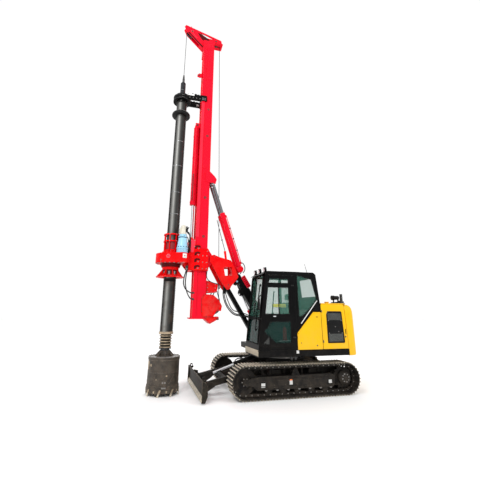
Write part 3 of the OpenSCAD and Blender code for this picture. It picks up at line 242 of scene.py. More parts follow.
RED = (0.80, 0.0004, 0.0025)
YELLOW = (0.86, 0.47, 0.0015)
MAT = {
    "red": surface("red_paint", (0.78, 0.0040, 0.022), 0.34, vary=0.07, coat=0.02, spec=0.07, fine=90, bump_s=0.05, streak=0.10, scale=1.5, chips=0.25, chip_color=(0.16, 0.01, 0.01), wear=0.35, wear_color=(0.30, 0.02, 0.02)),
    "red_low": surface("red_paint_low", RED, 0.38, vary=0.10, coat=0.02, spec=0.05, fine=90, bump_s=0.07, streak=0.2, dust=0.22, dust_z=(1.2, 3.2), chips=0.5, chip_color=(0.14, 0.015, 0.015), wear=0.6, wear_color=(0.20, 0.02, 0.018)),
    # pinker, glossier red for painted highlight strips
    "red_painted_sheen": surface("red_paint_painted_sheen", (0.84, 0.022, 0.050), 0.32, vary=0.06, coat=0.05, spec=0.10, fine=90, bump_s=0.04, streak=0.12, scale=1.5, chips=0.3, chip_color=(0.2, 0.01, 0.01)),
    # dark red that stands in for shade: painted shade on holes, seams, bolts and rings that sit in shade
    "red_painted_shade": surface("red_paint_painted_shade", (0.26, 0.004, 0.006), 0.45, vary=0.15, fine=90, bump_s=0.1, streak=0.2),
    "yellow": surface("yellow_paint", YELLOW, 0.38, vary=0.05, coat=0.05, spec=0.15, fine=70, bump_s=0.05, dust=0.16, dust_z=(0.8, 1.6), scale=1.2, wear=0.25, wear_color=(0.50, 0.26, 0.004)),
    "black": surface("black_paint", (0.0035, 0.0035, 0.0038), 0.40, vary=0.3, fine=80, bump_s=0.1, dust=0.05, dust_z=(0.3, 1.6), chips=0.25, chip_color=(0.02, 0.02, 0.02), spec=0.06, wear=0.4, wear_color=(0.045, 0.042, 0.038)),
    "cab_black": surface("cab_paint", (0.0030, 0.0030, 0.0033), 0.38, vary=0.3, coat=0.0, fine=80, bump_s=0.05, dust=0.03, dust_z=(0.8, 1.8), spec=0.06, wear=0.2, wear_color=(0.03, 0.03, 0.03)),
    "under": surface("undercarriage_paint", (0.0085, 0.0080, 0.0078), 0.55, vary=0.4, fine=50, bump_s=0.3, dust=0.40, dust_z=(0.0, 0.75), dust_color=(0.15, 0.12, 0.09), chips=0.6, chip_color=(0.07, 0.058, 0.045), spec=0.12, wear=0.8, wear_color=(0.16, 0.13, 0.10)),
    "shoe": surface("track_steel", (0.016, 0.0145, 0.013), 0.5, metal=0.4, vary=0.5, fine=45, bump_s=0.4, dust=0.30, dust_z=(0.0, 0.6), dust_color=(0.16, 0.13, 0.095), chips=0.9, chip_color=(0.12, 0.095, 0.07), scale=9, wear=0.9, wear_color=(0.30, 0.25, 0.19)),
    "shoe_edge": surface("shoe_edge_worn", (0.50, 0.44, 0.34), 0.5, metal=0.25, vary=0.35, fine=60, bump_s=0.3, chips=0.8, chip_color=(0.07, 0.06, 0.045), scale=14),
    "blade": surface("blade_paint", (0.012, 0.0105, 0.0095), 0.55, vary=0.4, fine=45, bump_s=0.35, dust=0.30, dust_z=(0.0, 0.5), dust_color=(0.20, 0.16, 0.11), chips=1.0, chip_color=(0.16, 0.12, 0.08), spec=0.12, wear=1.0, wear_color=(0.34, 0.28, 0.20), scale=5),
    "steel": surface("plain_steel", (0.30, 0.29, 0.28), 0.42, metal=0.85, vary=0.2, fine=80, bump_s=0.15, dust=0.3, dust_z=(0.1, 1.0), wear=0.5, wear_color=(0.5, 0.5, 0.5)),
    "dark_steel": surface("dark_steel", (0.06, 0.06, 0.06), 0.42, metal=0.8, vary=0.3, fine=60, bump_s=0.2, wear=0.5, wear_color=(0.22, 0.22, 0.22)),
    "bolt": surface("bolt_steel", (0.22, 0.21, 0.20), 0.38, metal=0.9, vary=0.2, fine=90, bump_s=0.15, wear=0.5, wear_color=(0.45, 0.45, 0.45), edge=0.002),
    "chrome": surface("rod_chrome", (0.80, 0.81, 0.83), 0.12, metal=1.0, vary=0.03, rough_vary=0.06, fine=120, bump_s=0.02),
    "kelly": surface("kelly_steel", (0.030, 0.032, 0.036), 0.30, metal=0.75, vary=0.35, rough_vary=0.2, fine=30, bump_s=0.15, streak=0.35, chips=0.4, chip_color=(0.08, 0.075, 0.07), scale=6, wear=0.6, wear_color=(0.22, 0.22, 0.22)),
    "kelly_bright": surface("kelly_polished", (0.20, 0.205, 0.21), 0.28, metal=0.9, vary=0.3, rough_vary=0.15, fine=40, bump_s=0.15, streak=0.3, scale=6),
    "rust": surface("bucket_steel", (0.052, 0.041, 0.030), 0.55, metal=0.2, vary=0.45, fine=35, bump_s=0.5, chips=1.3, chip_color=(0.11, 0.062, 0.034), dust=0.35, dust_z=(0.0, 0.6), dust_color=(0.13, 0.10, 0.07), scale=7, wear=0.9, wear_color=(0.30, 0.24, 0.18)),
    "tan": surface("tan_worn_steel", (0.36, 0.28, 0.19), 0.6, metal=0.3, vary=0.35, fine=50, bump_s=0.4, chips=1.0, chip_color=(0.10, 0.075, 0.055), scale=14, wear=0.5, wear_color=(0.5, 0.43, 0.32)),
    "blue": surface("light_blue_paint", (0.30, 0.58, 0.76), 0.35, vary=0.08, coat=0.3, bump_s=0.08, chips=0.4, chip_color=(0.2, 0.3, 0.36), wear=0.4, wear_color=(0.12, 0.2, 0.26)),
    "cream": surface("cream_paint", (0.66, 0.63, 0.53), 0.4, vary=0.08, coat=0.2, bump_s=0.08, wear=0.3, wear_color=(0.3, 0.28, 0.22)),
    "white": surface("white_paint", (0.76, 0.76, 0.74), 0.4, vary=0.05, bump_s=0.05),
    "rubber": surface("hose_rubber", (0.006, 0.006, 0.006), 0.5, vary=0.3, fine=160, bump_s=0.3, scale=12, spec=0.15, edge=0.0),
    "seal": surface("rubber_seal", (0.005, 0.005, 0.005), 0.6, vary=0.2, fine=120, bump_s=0.2, spec=0.12, edge=0.0),
    "plastic": surface("black_plastic", (0.008, 0.008, 0.0085), 0.5, vary=0.2, fine=250, bump_s=0.3, spec=0.12),
    # near-black for openings drawn as flat strips and discs: painted shade
    "hole_painted_shade": surface("hole_painted_shade_black", (0.004, 0.004, 0.004), 0.6, vary=0.2, bump_s=0.1, spec=0.1),
    "mesh_grey": surface("grille_mesh", (0.10, 0.105, 0.10), 0.5, vary=0.2, metal=0.3, fine=300, bump_s=0.5, edge=0.0),
    "interior": surface("cab_interior", (0.022, 0.026, 0.026), 0.6, vary=0.15, fine=200, bump_s=0.3),
    "seat": surface("seat_cloth", (0.075, 0.10, 0.088), 0.88, vary=0.2, fine=420, bump_s=0.6, scale=20, spec=0.2, edge=0.0),
    "sill": surface("beige_sill", (0.46, 0.40, 0.29), 0.5, vary=0.1, fine=60, bump_s=0.2, dust=0.3, dust_z=(0.8, 1.1)),
    "orange": surface("orange_reflector", (0.80, 0.16, 0.01), 0.25, vary=0.1, coat=0.6, fine=200, bump_s=0.1),
    "reflector": surface("red_reflector", (0.60, 0.015, 0.015), 0.2, vary=0.1, coat=0.6, fine=200, bump_s=0.1),
    # near-black for the grooves between the grousers: painted shade
    "shoe_groove_painted_shade": surface("track_groove_painted_shade", (0.012, 0.0105, 0.009), 0.85, vary=0.4, fine=60, bump_s=0.4, spec=0.1, edge=0.0),
    # darker copy of the chrome for the luffing rods: painted shade, standing in for the dark reflections they show
    "chrome_painted_shade": surface("rod_chrome_painted_shade", (0.20, 0.205, 0.215), 0.16, metal=1.0, vary=0.05, rough_vary=0.06, fine=120, bump_s=0.02),
    "pouch": surface("yellow_cloth", (1.0, 0.86, 0.10), 0.8, vary=0.06, fine=200, bump_s=0.4, scale=10, spec=0.2, edge=0.0),
    "engine": surface("engine_metal", (0.06, 0.06, 0.06), 0.5, metal=0.3, vary=0.3, bump_s=0.3),
    "sticker": surface("blank_label", (0.60, 0.60, 0.58), 0.35, vary=0.06, fine=40, bump_s=0.03),
}


def rope_mat():
    """twisted strands from the angle around the rope and the height"""
    m, nt, p = new_mat("wire_rope")
    tc = nt.nodes.new("ShaderNodeTexCoord")
    mp = nt.nodes.new("ShaderNodeMapping")
    mp.inputs["Rotation"].default_value = (0.0, math.radians(32), math.radians(20))
    nt.links.new(tc.outputs["Object"], mp.inputs[0])
    w = nt.nodes.new("ShaderNodeTexWave")
    w.bands_direction = "Z"
    w.inputs["Scale"].default_value = 26.0
    w.inputs["Distortion"].default_value = 0.6
    w.inputs["Detail"].default_value = 2.0
    w.inputs["Detail Scale"].default_value = 8.0
    nt.links.new(mp.outputs[0], w.inputs["Vector"])
    col = ramp(nt, w.outputs["Fac"], [(0.2, (0.004, 0.004, 0.004)), (0.8, (0.028, 0.027, 0.026))])
    nt.links.new(col, p.inputs["Base Color"])
    nt.links.new(math_n(nt, "ADD", math_n(nt, "MULTIPLY", noise(nt, tc.outputs["Object"], 90.0), 0.25), 0.32), p.inputs["Roughness"])
    p.inputs["Metallic"].default_value = 0.1
    p.inputs["Specular IOR Level"].default_value = 0.15
    bump(nt, p, w.outputs["Fac"], 0.8, 0.002)
    return m


MAT["rope"] = rope_mat()


def glass_mat():
    m, nt, p = new_mat("cab_glass")
    tc = nt.nodes.new("ShaderNodeTexCoord")
    dust = ramp(nt, noise(nt, tc.outputs["Object"], 5.0, 6.0), [(0.4, 0.015), (0.75, 0.06)])
    p.inputs["Base Color"].default_value = (0.10, 0.26, 0.20, 1)
    # the glass is darker and more opaque below about 1.6 m than above 1.75 m
    sep = nt.nodes.new("ShaderNodeSeparateXYZ")
    nt.links.new(tc.outputs["Object"], sep.inputs[0])
    band = nt.nodes.new("ShaderNodeMapRange")
    band.inputs["From Min"].default_value = 1.60
    band.inputs["From Max"].default_value = 1.75
    nt.links.new(sep.outputs["Z"], band.inputs["Value"])
    nt.links.new(ramp(nt, band.outputs[0], [(0.0, (0.012, 0.040, 0.034)), (1.0, (0.10, 0.26, 0.20))]), p.inputs["Base Color"])
    nt.links.new(math_n(nt, "SUBTRACT", 0.52, math_n(nt, "MULTIPLY", band.outputs[0], 0.32)), p.inputs["Alpha"])
    nt.links.new(dust, p.inputs["Roughness"])
    p.inputs["IOR"].default_value = 1.45
    p.inputs["Specular IOR Level"].default_value = 0.18
    bump(nt, p, noise(nt, tc.outputs["Object"], 2.0, 2.0), 0.03, 0.002)
    return m


MAT["glass"] = glass_mat()
MAT["lamp"] = surface("lamp_lens", (0.80, 0.82, 0.84), 0.12, vary=0.05, coat=0.8, fine=90, bump_s=0.4)

# near-black red that stands in for shadow: painted shadow in recesses, gaps and undersides
MAT["red_shadow"] = surface("red_paint_painted_shadow", (0.085, 0.0012, 0.0018), 0.55, vary=0.25, fine=90, bump_s=0.15, streak=0.2, spec=0.12)

CAD_LOOK = {
    "carbody": "under", "slew_ring": "steel", "track_frame_left": "under", "track_frame_right": "under",
    "track_left": "shoe", "track_right": "shoe", "front_idler_left": "under", "front_idler_right": "under",
    "drive_sprocket_left": "under", "drive_sprocket_right": "under", "track_rollers_left": "under", "track_rollers_right": "under",
    "dozer_blade": "blade", "blade_arms": "under", "bucket_gate": "rust", "blade_cylinder": "black", "blade_cylinder_rod": "chrome",
    "house_deck": "black", "cab_shell": "cab_black", "cab_windows": "glass", "cab_door": "cab_black", "cab_door_glass": "glass",
    "operator_seat": "seat", "engine_block": "engine", "side_panel": "yellow", "engine_door": "yellow", "engine_hood": "yellow",
    "right_side_cover": "yellow", "counterweight": "yellow", "exhaust_pipe": "dark_steel", "air_precleaner": "plastic",
    "upper_boom": "black", "lower_link": "black", "luffing_bracket": "red_low", "boom_cylinder": "red", "boom_cylinder_rod": "chrome",
    "mast": "red", "mast_jib": "red", "front_sheave": "dark_steel", "rear_sheave": "dark_steel", "winch_frame": "red_low", "winch_drum": "dark_steel",
    "winch_rope": "rope", "hoist_rope": "rope", "crowd_cylinder": "red", "crowd_cylinder_rod": "chrome",
    "luffing_cylinder_left": "red", "luffing_cylinder_right": "red", "luffing_rod_left": "chrome_painted_shade", "luffing_rod_right": "chrome_painted_shade",
    "head_carriage": "red_low", "rotary_gearbox": "red_low", "rotary_motor": "blue", "drive_sleeve": "red_low",
    "kelly_guide": "black", "kelly_outer": "kelly", "kelly_inner": "kelly", "damper_spring": "tan", "drilling_bucket": "rust", "rope_swivel": "dark_steel",
}
for n, ob in NODE.items():
    ob.data.materials.clear()
    ob.data.materials.append(MAT[CAD_LOOK.get(n, "black")])

# ---------------------------------------------------------------- stage
def make_stage():
    bm = bmesh.new()
    s = 60
    bmesh.ops.create_grid(bm, x_segments=2, y_segments=2, size=s)
    me = bpy.data.meshes.new("floor")
    bm.to_mesh(me)
    fl = bpy.data.objects.new("floor", me)
    bpy.context.scene.collection.objects.link(fl)
    m, nt, p = new_mat("floor_pale")
    tc = nt.nodes.new("ShaderNodeTexCoord")
    f = noise(nt, tc.outputs["Object"], 0.6, 4.0)
    nt.links.new(mixc(nt, f, (0.975, 0.975, 0.975), (0.995, 0.995, 0.995)), p.inputs["Base Color"])
    p.inputs["Roughness"].default_value = 0.8
    me.materials.append(m)
    w = bpy.data.worlds.new("studio")
    bpy.context.scene.world = w
    w.use_nodes = True
    bg = w.node_tree.nodes["Background"]
    bg.inputs[0].default_value = (1, 1, 1, 1)
    bg.inputs[1].default_value = 1.02

    def area(name, loc, target, size, power, color=(1, 1, 1)):
        l = bpy.data.lights.new(name, "AREA")
        l.shape = "DISK"
        l.size = size
        l.energy = power
        l.color = color
        o = bpy.data.objects.new(name, l)
        bpy.context.scene.collection.objects.link(o)
        o.location = loc
        d = Vector(target) - Vector(loc)
        o.rotation_euler = d.to_track_quat("-Z", "Y").to_euler()
        return o

    area("key", (7.5, 9.0, 11.0), (0.2, 0, 2.5), 4.0, 620)
    area("fill", (-9.0, 8.0, 7.0), (0, 0, 2.0), 6.0, 220)
    area("rim", (-2.0, -10.0, 12.0), (0, 0, 3.0), 6.0, 300)


make_stage()
bpy.context.scene.view_settings.view_transform = "Standard"


# ---------------------------------------------------------------- builder
def frame_of(d):
    d = Vector(d).normalized()
    ref = Vector((0, 0, 1)) if abs(d.z) < 0.9 else Vector((1, 0, 0))
    u = d.cross(ref).normalized()
    return d, u, d.cross(u)


def spline(pts, step=8):
    """points on a smooth curve through pts"""
    p = [Vector(q) for q in pts]
    if len(p) < 3:
        return p
    p = [p[0] * 2 - p[1]] + p + [p[-1] * 2 - p[-2]]
    out = []
    for i in range(1, len(p) - 2):
        a, b, c, d = p[i - 1], p[i], p[i + 1], p[i + 2]
        for k in range(step):
            t = k / step
            out.append(0.5 * ((2 * b) + (c - a) * t + (2 * a - 5 * b + 4 * c - d) * t * t + (3 * b - a - 3 * c + d) * t ** 3))
    out.append(p[-2])
    return out


class Part:
    """one visible piece: solids with broken edges, in the rig's millimetres"""

    def __init__(self, name):
        self.name = name
        self.bm = bmesh.new()
        self.mats = []

    def mi(self, mat):
        if mat not in self.mats:
            self.mats.append(mat)
        return self.mats.index(mat)

    def take(self, bm, mat, bevel=0.0, seg=2, mtx=None):
        """adds a scratch solid, in metres already, after breaking its edges"""
        bmesh.ops.recalc_face_normals(bm, faces=bm.faces[:])
        if bevel:
            es = [e for e in bm.edges if len(e.link_faces) == 2 and e.calc_face_angle(0) > 0.5]
            if es:
                bmesh.ops.bevel(bm, geom=es, offset=bevel / 1000.0, offset_type="OFFSET", segments=seg, profile=0.5, affect="EDGES", clamp_overlap=True)
        i = self.mi(mat)
        for f in bm.faces:
            f.material_index = i
        if mtx is not None:
            bm.transform(mtx)
        me = bpy.data.meshes.new("scratch")
        bm.to_mesh(me)
        bm.free()
        self.bm.from_mesh(me)
        bpy.data.meshes.remove(me)

    def box(self, x0, x1, y0, y1, z0, z1, mat, bevel=2.0, seg=2, rot=None, about=None):
        bm = bmesh.new()
        r = bmesh.ops.create_cube(bm, size=1.0)
        c = W((x0 + x1) / 2, (y0 + y1) / 2, (z0 + z1) / 2)
        for v in bm.verts:
            v.co = Vector((v.co.x * abs(x1 - x0) / 1000, v.co.y * abs(y1 - y0) / 1000, v.co.z * abs(z1 - z0) / 1000)) + c
        if rot is not None:
            a = c if about is None else W(*about)
            bm.transform(Matrix.Translation(a) @ rot @ Matrix.Translation(-a))
        self.take(bm, mat, bevel, seg)

    def prism(self, axis, lo, hi, pts, mat, bevel=2.0, seg=2, holes=()):
        """a plate from lo to hi along axis; pts are (x,z) on y, (x,y) on z and (y,z) on x"""
        def at(p, t):
            if axis == "y":
                return W(p[0], t, p[1])
            if axis == "z":
                return W(p[0], p[1], t)
            return W(t, p[0], p[1])
        bm = bmesh.new()
        if not holes:
            a = [bm.verts.new(at(p, lo)) for p in pts]
            b = [bm.verts.new(at(p, hi)) for p in pts]
            bm.faces.new(a)
            bm.faces.new(b)
            for i in range(len(pts)):
                j = (i + 1) % len(pts)
                bm.faces.new((a[i], a[j], b[j], b[i]))
        else:
            loops = [list(pts)] + [list(h) for h in holes]
            tri = tessellate_polygon([[Vector((p[0], p[1], 0)) for p in l] for l in loops])
            flat = [p for l in loops for p in l]
            a = [bm.verts.new(at(p, lo)) for p in flat]
            b = [bm.verts.new(at(p, hi)) for p in flat]
            for t in tri:
                bm.faces.new([a[k] for k in t])
                bm.faces.new([b[k] for k in t])
            n = 0
            for l in loops:
                for i in range(len(l)):
                    j = n + (i + 1) % len(l)
                    bm.faces.new((a[n + i], a[j], b[j], b[n + i]))
                n += len(l)
            bmesh.ops.dissolve_limit(bm, angle_limit=0.01, verts=bm.verts[:], edges=bm.edges[:])
        self.take(bm, mat, bevel, seg)

    def hull(self, q, mat):
        """a tapered block from four corners below and four above"""
        bm = bmesh.new()
        v = [bm.verts.new(W(*c)) for c in q]
        for f in ((0, 1, 2, 3), (4, 5, 6, 7), (0, 1, 5, 4), (1, 2, 6, 5), (2, 3, 7, 6), (3, 0, 4, 7)):
            bm.faces.new([v[i] for i in f])
        self.take(bm, mat)

    def frame(self, axis, lo, hi, pts, width, mat, bevel=1.5):
        """a closed strip of the given width round an outline, outside it"""
        self.prism(axis, lo, hi, grow(pts, width), mat, bevel, holes=[pts])

    def lathe(self, p, d, prof, mat, seg=32, turn=0.0):
        """solid of revolution from p along d; prof is (distance, radius)"""
        d, u, v = frame_of(d)
        bm = bmesh.new()
        rings = []
        for t, r in prof:
            c = Vector(p) + d * t
            if r < 1e-6:
                rings.append([bm.verts.new(W(*c))])
            else:
                rings.append([bm.verts.new(W(*(c + (u * math.cos(turn + 2 * math.pi * k / seg) + v * math.sin(turn + 2 * math.pi * k / seg)) * r))) for k in range(seg)])
        for a, b in zip(rings, rings[1:]):
            for k in range(seg):
                j = (k + 1) % seg
                f = [a[k % len(a)], a[j % len(a)], b[j % len(b)], b[k % len(b)]]
                g = []
                for w in f:
                    if w not in g:
                        g.append(w)
                if len(g) > 2:
                    bm.faces.new(g)
        for r in (rings[0], rings[-1]):
            if len(r) > 1 and rings[0] is not rings[-1]:
                bm.faces.new(r)
        self.take(bm, mat)

    def cyl(self, p, d, length, r, mat, seg=32, b=2.0):
        b = min(b, r * 0.4, abs(length) * 0.4)
        self.lathe(p, d, [(0, r - b), (b * 0.3, r - b * 0.3), (b, r), (length - b, r), (length - b * 0.3, r - b * 0.3), (length, r - b)], mat, seg)

    def torus(self, p, d, R, r, mat, seg=48, n=10):
        d, u, v = frame_of(d)
        bm = bmesh.new()
        rows = []
        for i in range(seg):
            a = 2 * math.pi * i / seg
            o = u * math.cos(a) + v * math.sin(a)
            rows.append([bm.verts.new(W(*(Vector(p) + o * (R + r * math.cos(2 * math.pi * k / n)) + d * (r * math.sin(2 * math.pi * k / n))))) for k in range(n)])
        for i in range(seg):
            a, b = rows[i], rows[(i + 1) % seg]
            for k in range(n):
                j = (k + 1) % n
                bm.faces.new((a[k], a[j], b[j], b[k]))
        self.take(bm, mat)

    def tube(self, pts, r, mat, n=12, step=8, smooth=True, rad=None):
        """a hose, pipe or bar along pts; rad(t) scales its radius"""
        c = spline(pts, step) if smooth else [Vector(q) for q in pts]
        bm = bmesh.new()
        t = (c[1] - c[0]).normalized()
        _, u, _ = frame_of(t)
        rings = []
        for i, p in enumerate(c):
            q = (c[min(i + 1, len(c) - 1)] - c[max(i - 1, 0)]).normalized()
            ax = t.cross(q)
            if ax.length > 1e-7:
                u = Quaternion(ax.normalized(), t.angle(q)) @ u
            t = q
            w = t.cross(u)
            k = r * (rad(i / (len(c) - 1)) if rad else 1.0)
            rings.append([bm.verts.new(W(*(p + (u * math.cos(2 * math.pi * j / n) + w * math.sin(2 * math.pi * j / n)) * k))) for j in range(n)])
        for a, b in zip(rings, rings[1:]):
            for j in range(n):
                k = (j + 1) % n
                bm.faces.new((a[j], a[k], b[k], b[j]))
        bm.faces.new(rings[0])
        bm.faces.new(rings[-1])
        self.take(bm, mat)

    def hose(self, pts, r, fit="bolt", mat="rubber", ends=(True, True), step=8):
        """a hose with a crimped sleeve and a nut at each end"""
        self.tube(pts, r, mat, 12, step)
        c = spline(pts, step)
        for p, q, on in ((c[0], c[1], ends[0]), (c[-1], c[-2], ends[1])):
            if on:
                d = (q - p).normalized()
                self.lathe(p - d * r * 0.6, d, [(0, r * 0.7), (0, r * 1.55), (r * 1.4, r * 1.55), (r * 1.4, r * 1.2), (r * 1.8, r * 1.3), (r * 4.6, r * 1.3), (r * 4.8, r * 1.05)], fit, 12)

    def bolt(self, p, d, r=10.0, mat="bolt", h=None, washer=True):
        """a hexagon head on its washer; p is on the surface, d points out"""
        h = h or r * 0.75
        dd = Vector(d).normalized()
        if washer:
            self.lathe(Vector(p) - dd * 0.5, dd, [(0, r * 1.55), (r * 0.22, r * 1.55), (r * 0.26, r * 1.4)], mat, 16)
        self.lathe(Vector(p) - dd * 0.5, dd, [(0, r * 1.1), (h * 0.85, r * 1.1), (h, r * 0.92)], mat, 6)

    def ring_bolts(self, c, d, R, n, r=10.0, mat="bolt", start=0.0, h=None):
        dd, u, v = frame_of(d)
        for i in range(n):
            a = start + 2 * math.pi * i / n
            self.bolt(Vector(c) + (u * math.cos(a) + v * math.sin(a)) * R, dd, r, mat, h)

    def rect_frame_bolts(self, pts, d, r=8.0, mat="bolt"):
        for p in pts:
            self.bolt(p, d, r, mat)

    def weld(self, pts, r, mat, step=1):
        """a bead of weld along a straight or bent line"""
        c = [Vector(q) for q in pts]
        out = []
        for a, b in zip(c, c[1:]):
            n = max(2, int((b - a).length / 14))
            out += [a + (b - a) * k / n for k in range(n)]
        out.append(c[-1])
        rnd = random.Random(len(out) * 7 + int(abs(c[0].z)))
        rs = [1 + 0.28 * (i % 2) + rnd.uniform(-0.12, 0.12) for i in range(len(out))]
        self.tube(out, r, mat, 6, smooth=False, rad=lambda t: rs[min(len(rs) - 1, int(round(t * (len(rs) - 1))))])

    def done(self, body, *nodes, angle=33, blend=None):
        me = bpy.data.meshes.new(self.name)
        self.bm.normal_update()
        self.bm.to_mesh(me)
        self.bm.free()
        for f in me.polygons:
            f.use_smooth = True
        me.set_sharp_from_angle(angle=math.radians(angle))
        for m in self.mats:
            me.materials.append(MAT[m])
        ob = bpy.data.objects.new(self.name, me)
        bpy.context.scene.collection.objects.link(ob)
        if blend:
            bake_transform(ob)
        else:
            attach(ob, body)
        if nodes:
            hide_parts(*nodes)
        return ob


def grow(pts, w):
    """the outline moved out by w, mitred"""
    n = len(pts)
    area = sum(pts[i][0] * pts[(i + 1) % n][1] - pts[(i + 1) % n][0] * pts[i][1] for i in range(n))
    s = 1 if area > 0 else -1
    out = []
    for i in range(n):
        a, b, c = Vector(pts[i - 1][:2]), Vector(pts[i][:2]), Vector(pts[(i + 1) % n][:2])
        e, f = (b - a).normalized(), (c - b).normalized()
        n1, n2 = Vector((e.y, -e.x)) * s, Vector((f.y, -f.x)) * s
        m = (n1 + n2)
        m = m / max(0.35, m.length_squared) * 2 / 1.0 if m.length > 1e-6 else n1
        k = w / max(0.4, m.normalized().dot(n1))
        out.append(tuple(b + m.normalized() * k))
    return out


def circle(cx, cy, r, n=24):
    return [(cx + r * math.cos(2 * math.pi * i / n), cy + r * math.sin(2 * math.pi * i / n)) for i in range(n)]


def arc(cx, cy, r, a0, a1, n=8):
    return [(cx + r * math.cos(math.radians(a0 + (a1 - a0) * i / n)), cy + r * math.sin(math.radians(a0 + (a1 - a0) * i / n))) for i in range(n + 1)]


def ry(deg):
    return Matrix.Rotation(math.radians(deg), 4, "Y")


# ---------------------------------------------------------------- tracks
IDLER, SPROCKET, R0 = (1248.0, 340.0), (-1143.0, 340.0), 314.0
STRAIGHT = IDLER[0] - SPROCKET[0]
LOOP = 2 * STRAIGHT + 2 * math.pi * R0
SHOES = 49


def on_loop(s):
    """centre, direction of travel and outward direction at length s of the loop, seen from the side"""
    s = s % LOOP
    if s < STRAIGHT:
        return (SPROCKET[0] + s, 340.0), (1.0, 0.0), (0.0, 1.0)
    s -= STRAIGHT
    if s < math.pi * R0:
        a = math.pi / 2 - s / R0
        return IDLER, (math.sin(a), -math.cos(a)), (math.cos(a), math.sin(a))
    s -= math.pi * R0
    if s < STRAIGHT:
        return (IDLER[0] - s, 340.0), (-1.0, 0.0), (0.0, -1.0)
    s -= STRAIGHT
    a = -math.pi / 2 - s / R0
    return SPROCKET, (math.sin(a), -math.cos(a)), (math.cos(a), math.sin(a))


def loop_matrix(s):
    """turns a shoe made at the origin, along x and out along z, into its place on the loop at y 0"""
    c, t, o = on_loop(s)
    return Matrix(((t[0], 0, o[0], c[0] / 1000 - XM / 1000), (0, 1, 0, 0), (t[1], 0, o[1], c[1] / 1000), (0, 0, 0, 1)))


def shoe_mesh():
    """one shoe with its two links, at the origin: x along the track, y across, z outwards"""
    p = Part("shoe_model")
    o = XM
    # plate with a lip bent down at each end
    prof = [(-66, 296), (-66, 304), (-58, 311), (58, 311), (66, 305), (72, 293), (66, 290), (58, 301), (-56, 301), (-62, 292)]
    p.prism("y", -224, 224, [(x + o, z) for x, z in prof], "shoe", 1.2, 1)
    for x, h in ((-40, 333), (29, 333)):
        p.prism("y", -224, 224, [(x - 17 + o, 309), (x - 11 + o, 320), (x + 11 + o, 320), (x + 17 + o, 309)], "shoe", 0.8, 1)
        p.prism("y", -223, 223, [(x - 12 + o, 317), (x - 9 + o, h), (x - 7 + o, h + 3), (x + 7 + o, h + 3), (x + 9 + o, h), (x + 12 + o, 317)], "shoe_edge", 1.2, 1)
    # dark sheets between the grousers: painted shade in the grooves
    for x0, x1 in ((-27, 15), (42, 57)):
        p.prism("y", -219, 219, [(x0 + o, 310.5), (x0 + o, 312.2), (x1 + o, 312.2), (x1 + o, 310.5)], "shoe_groove_painted_shade", 0)
    for y in (-58, 58):
        for x in (-6, 56):
            p.bolt((x + o, y, 311), (0, 0, 1), 8.5, "bolt", 9, washer=False)
    # links: an inner and an outer cheek on each side, pin and bush
    for s in (-1, 1):
        for x0, y0 in ((-69, 36), (0, 47)):
            a = arc(x0 + o, 262, 24, 90, 270, 6) + arc(x0 + 69 + o, 262, 24, -90, 90, 6)
            a = [(x, z if z < 262 else z + 6) for x, z in a]
            p.prism("y", s * y0, s * (y0 + 13), a, "under", 2.0, 1)
    p.lathe((-69 + o, -63, 262), (0, 1, 0), [(0, 8), (0, 11), (126, 11), (126, 8)], "steel", 12)
    p.lathe((-69 + o, -36, 262), (0, 1, 0), [(0, 17), (72, 17)], "shoe", 14)
    me = bpy.data.meshes.new("shoe")
    p.bm.to_mesh(me)
    p.bm.free()
    return me, p.mats


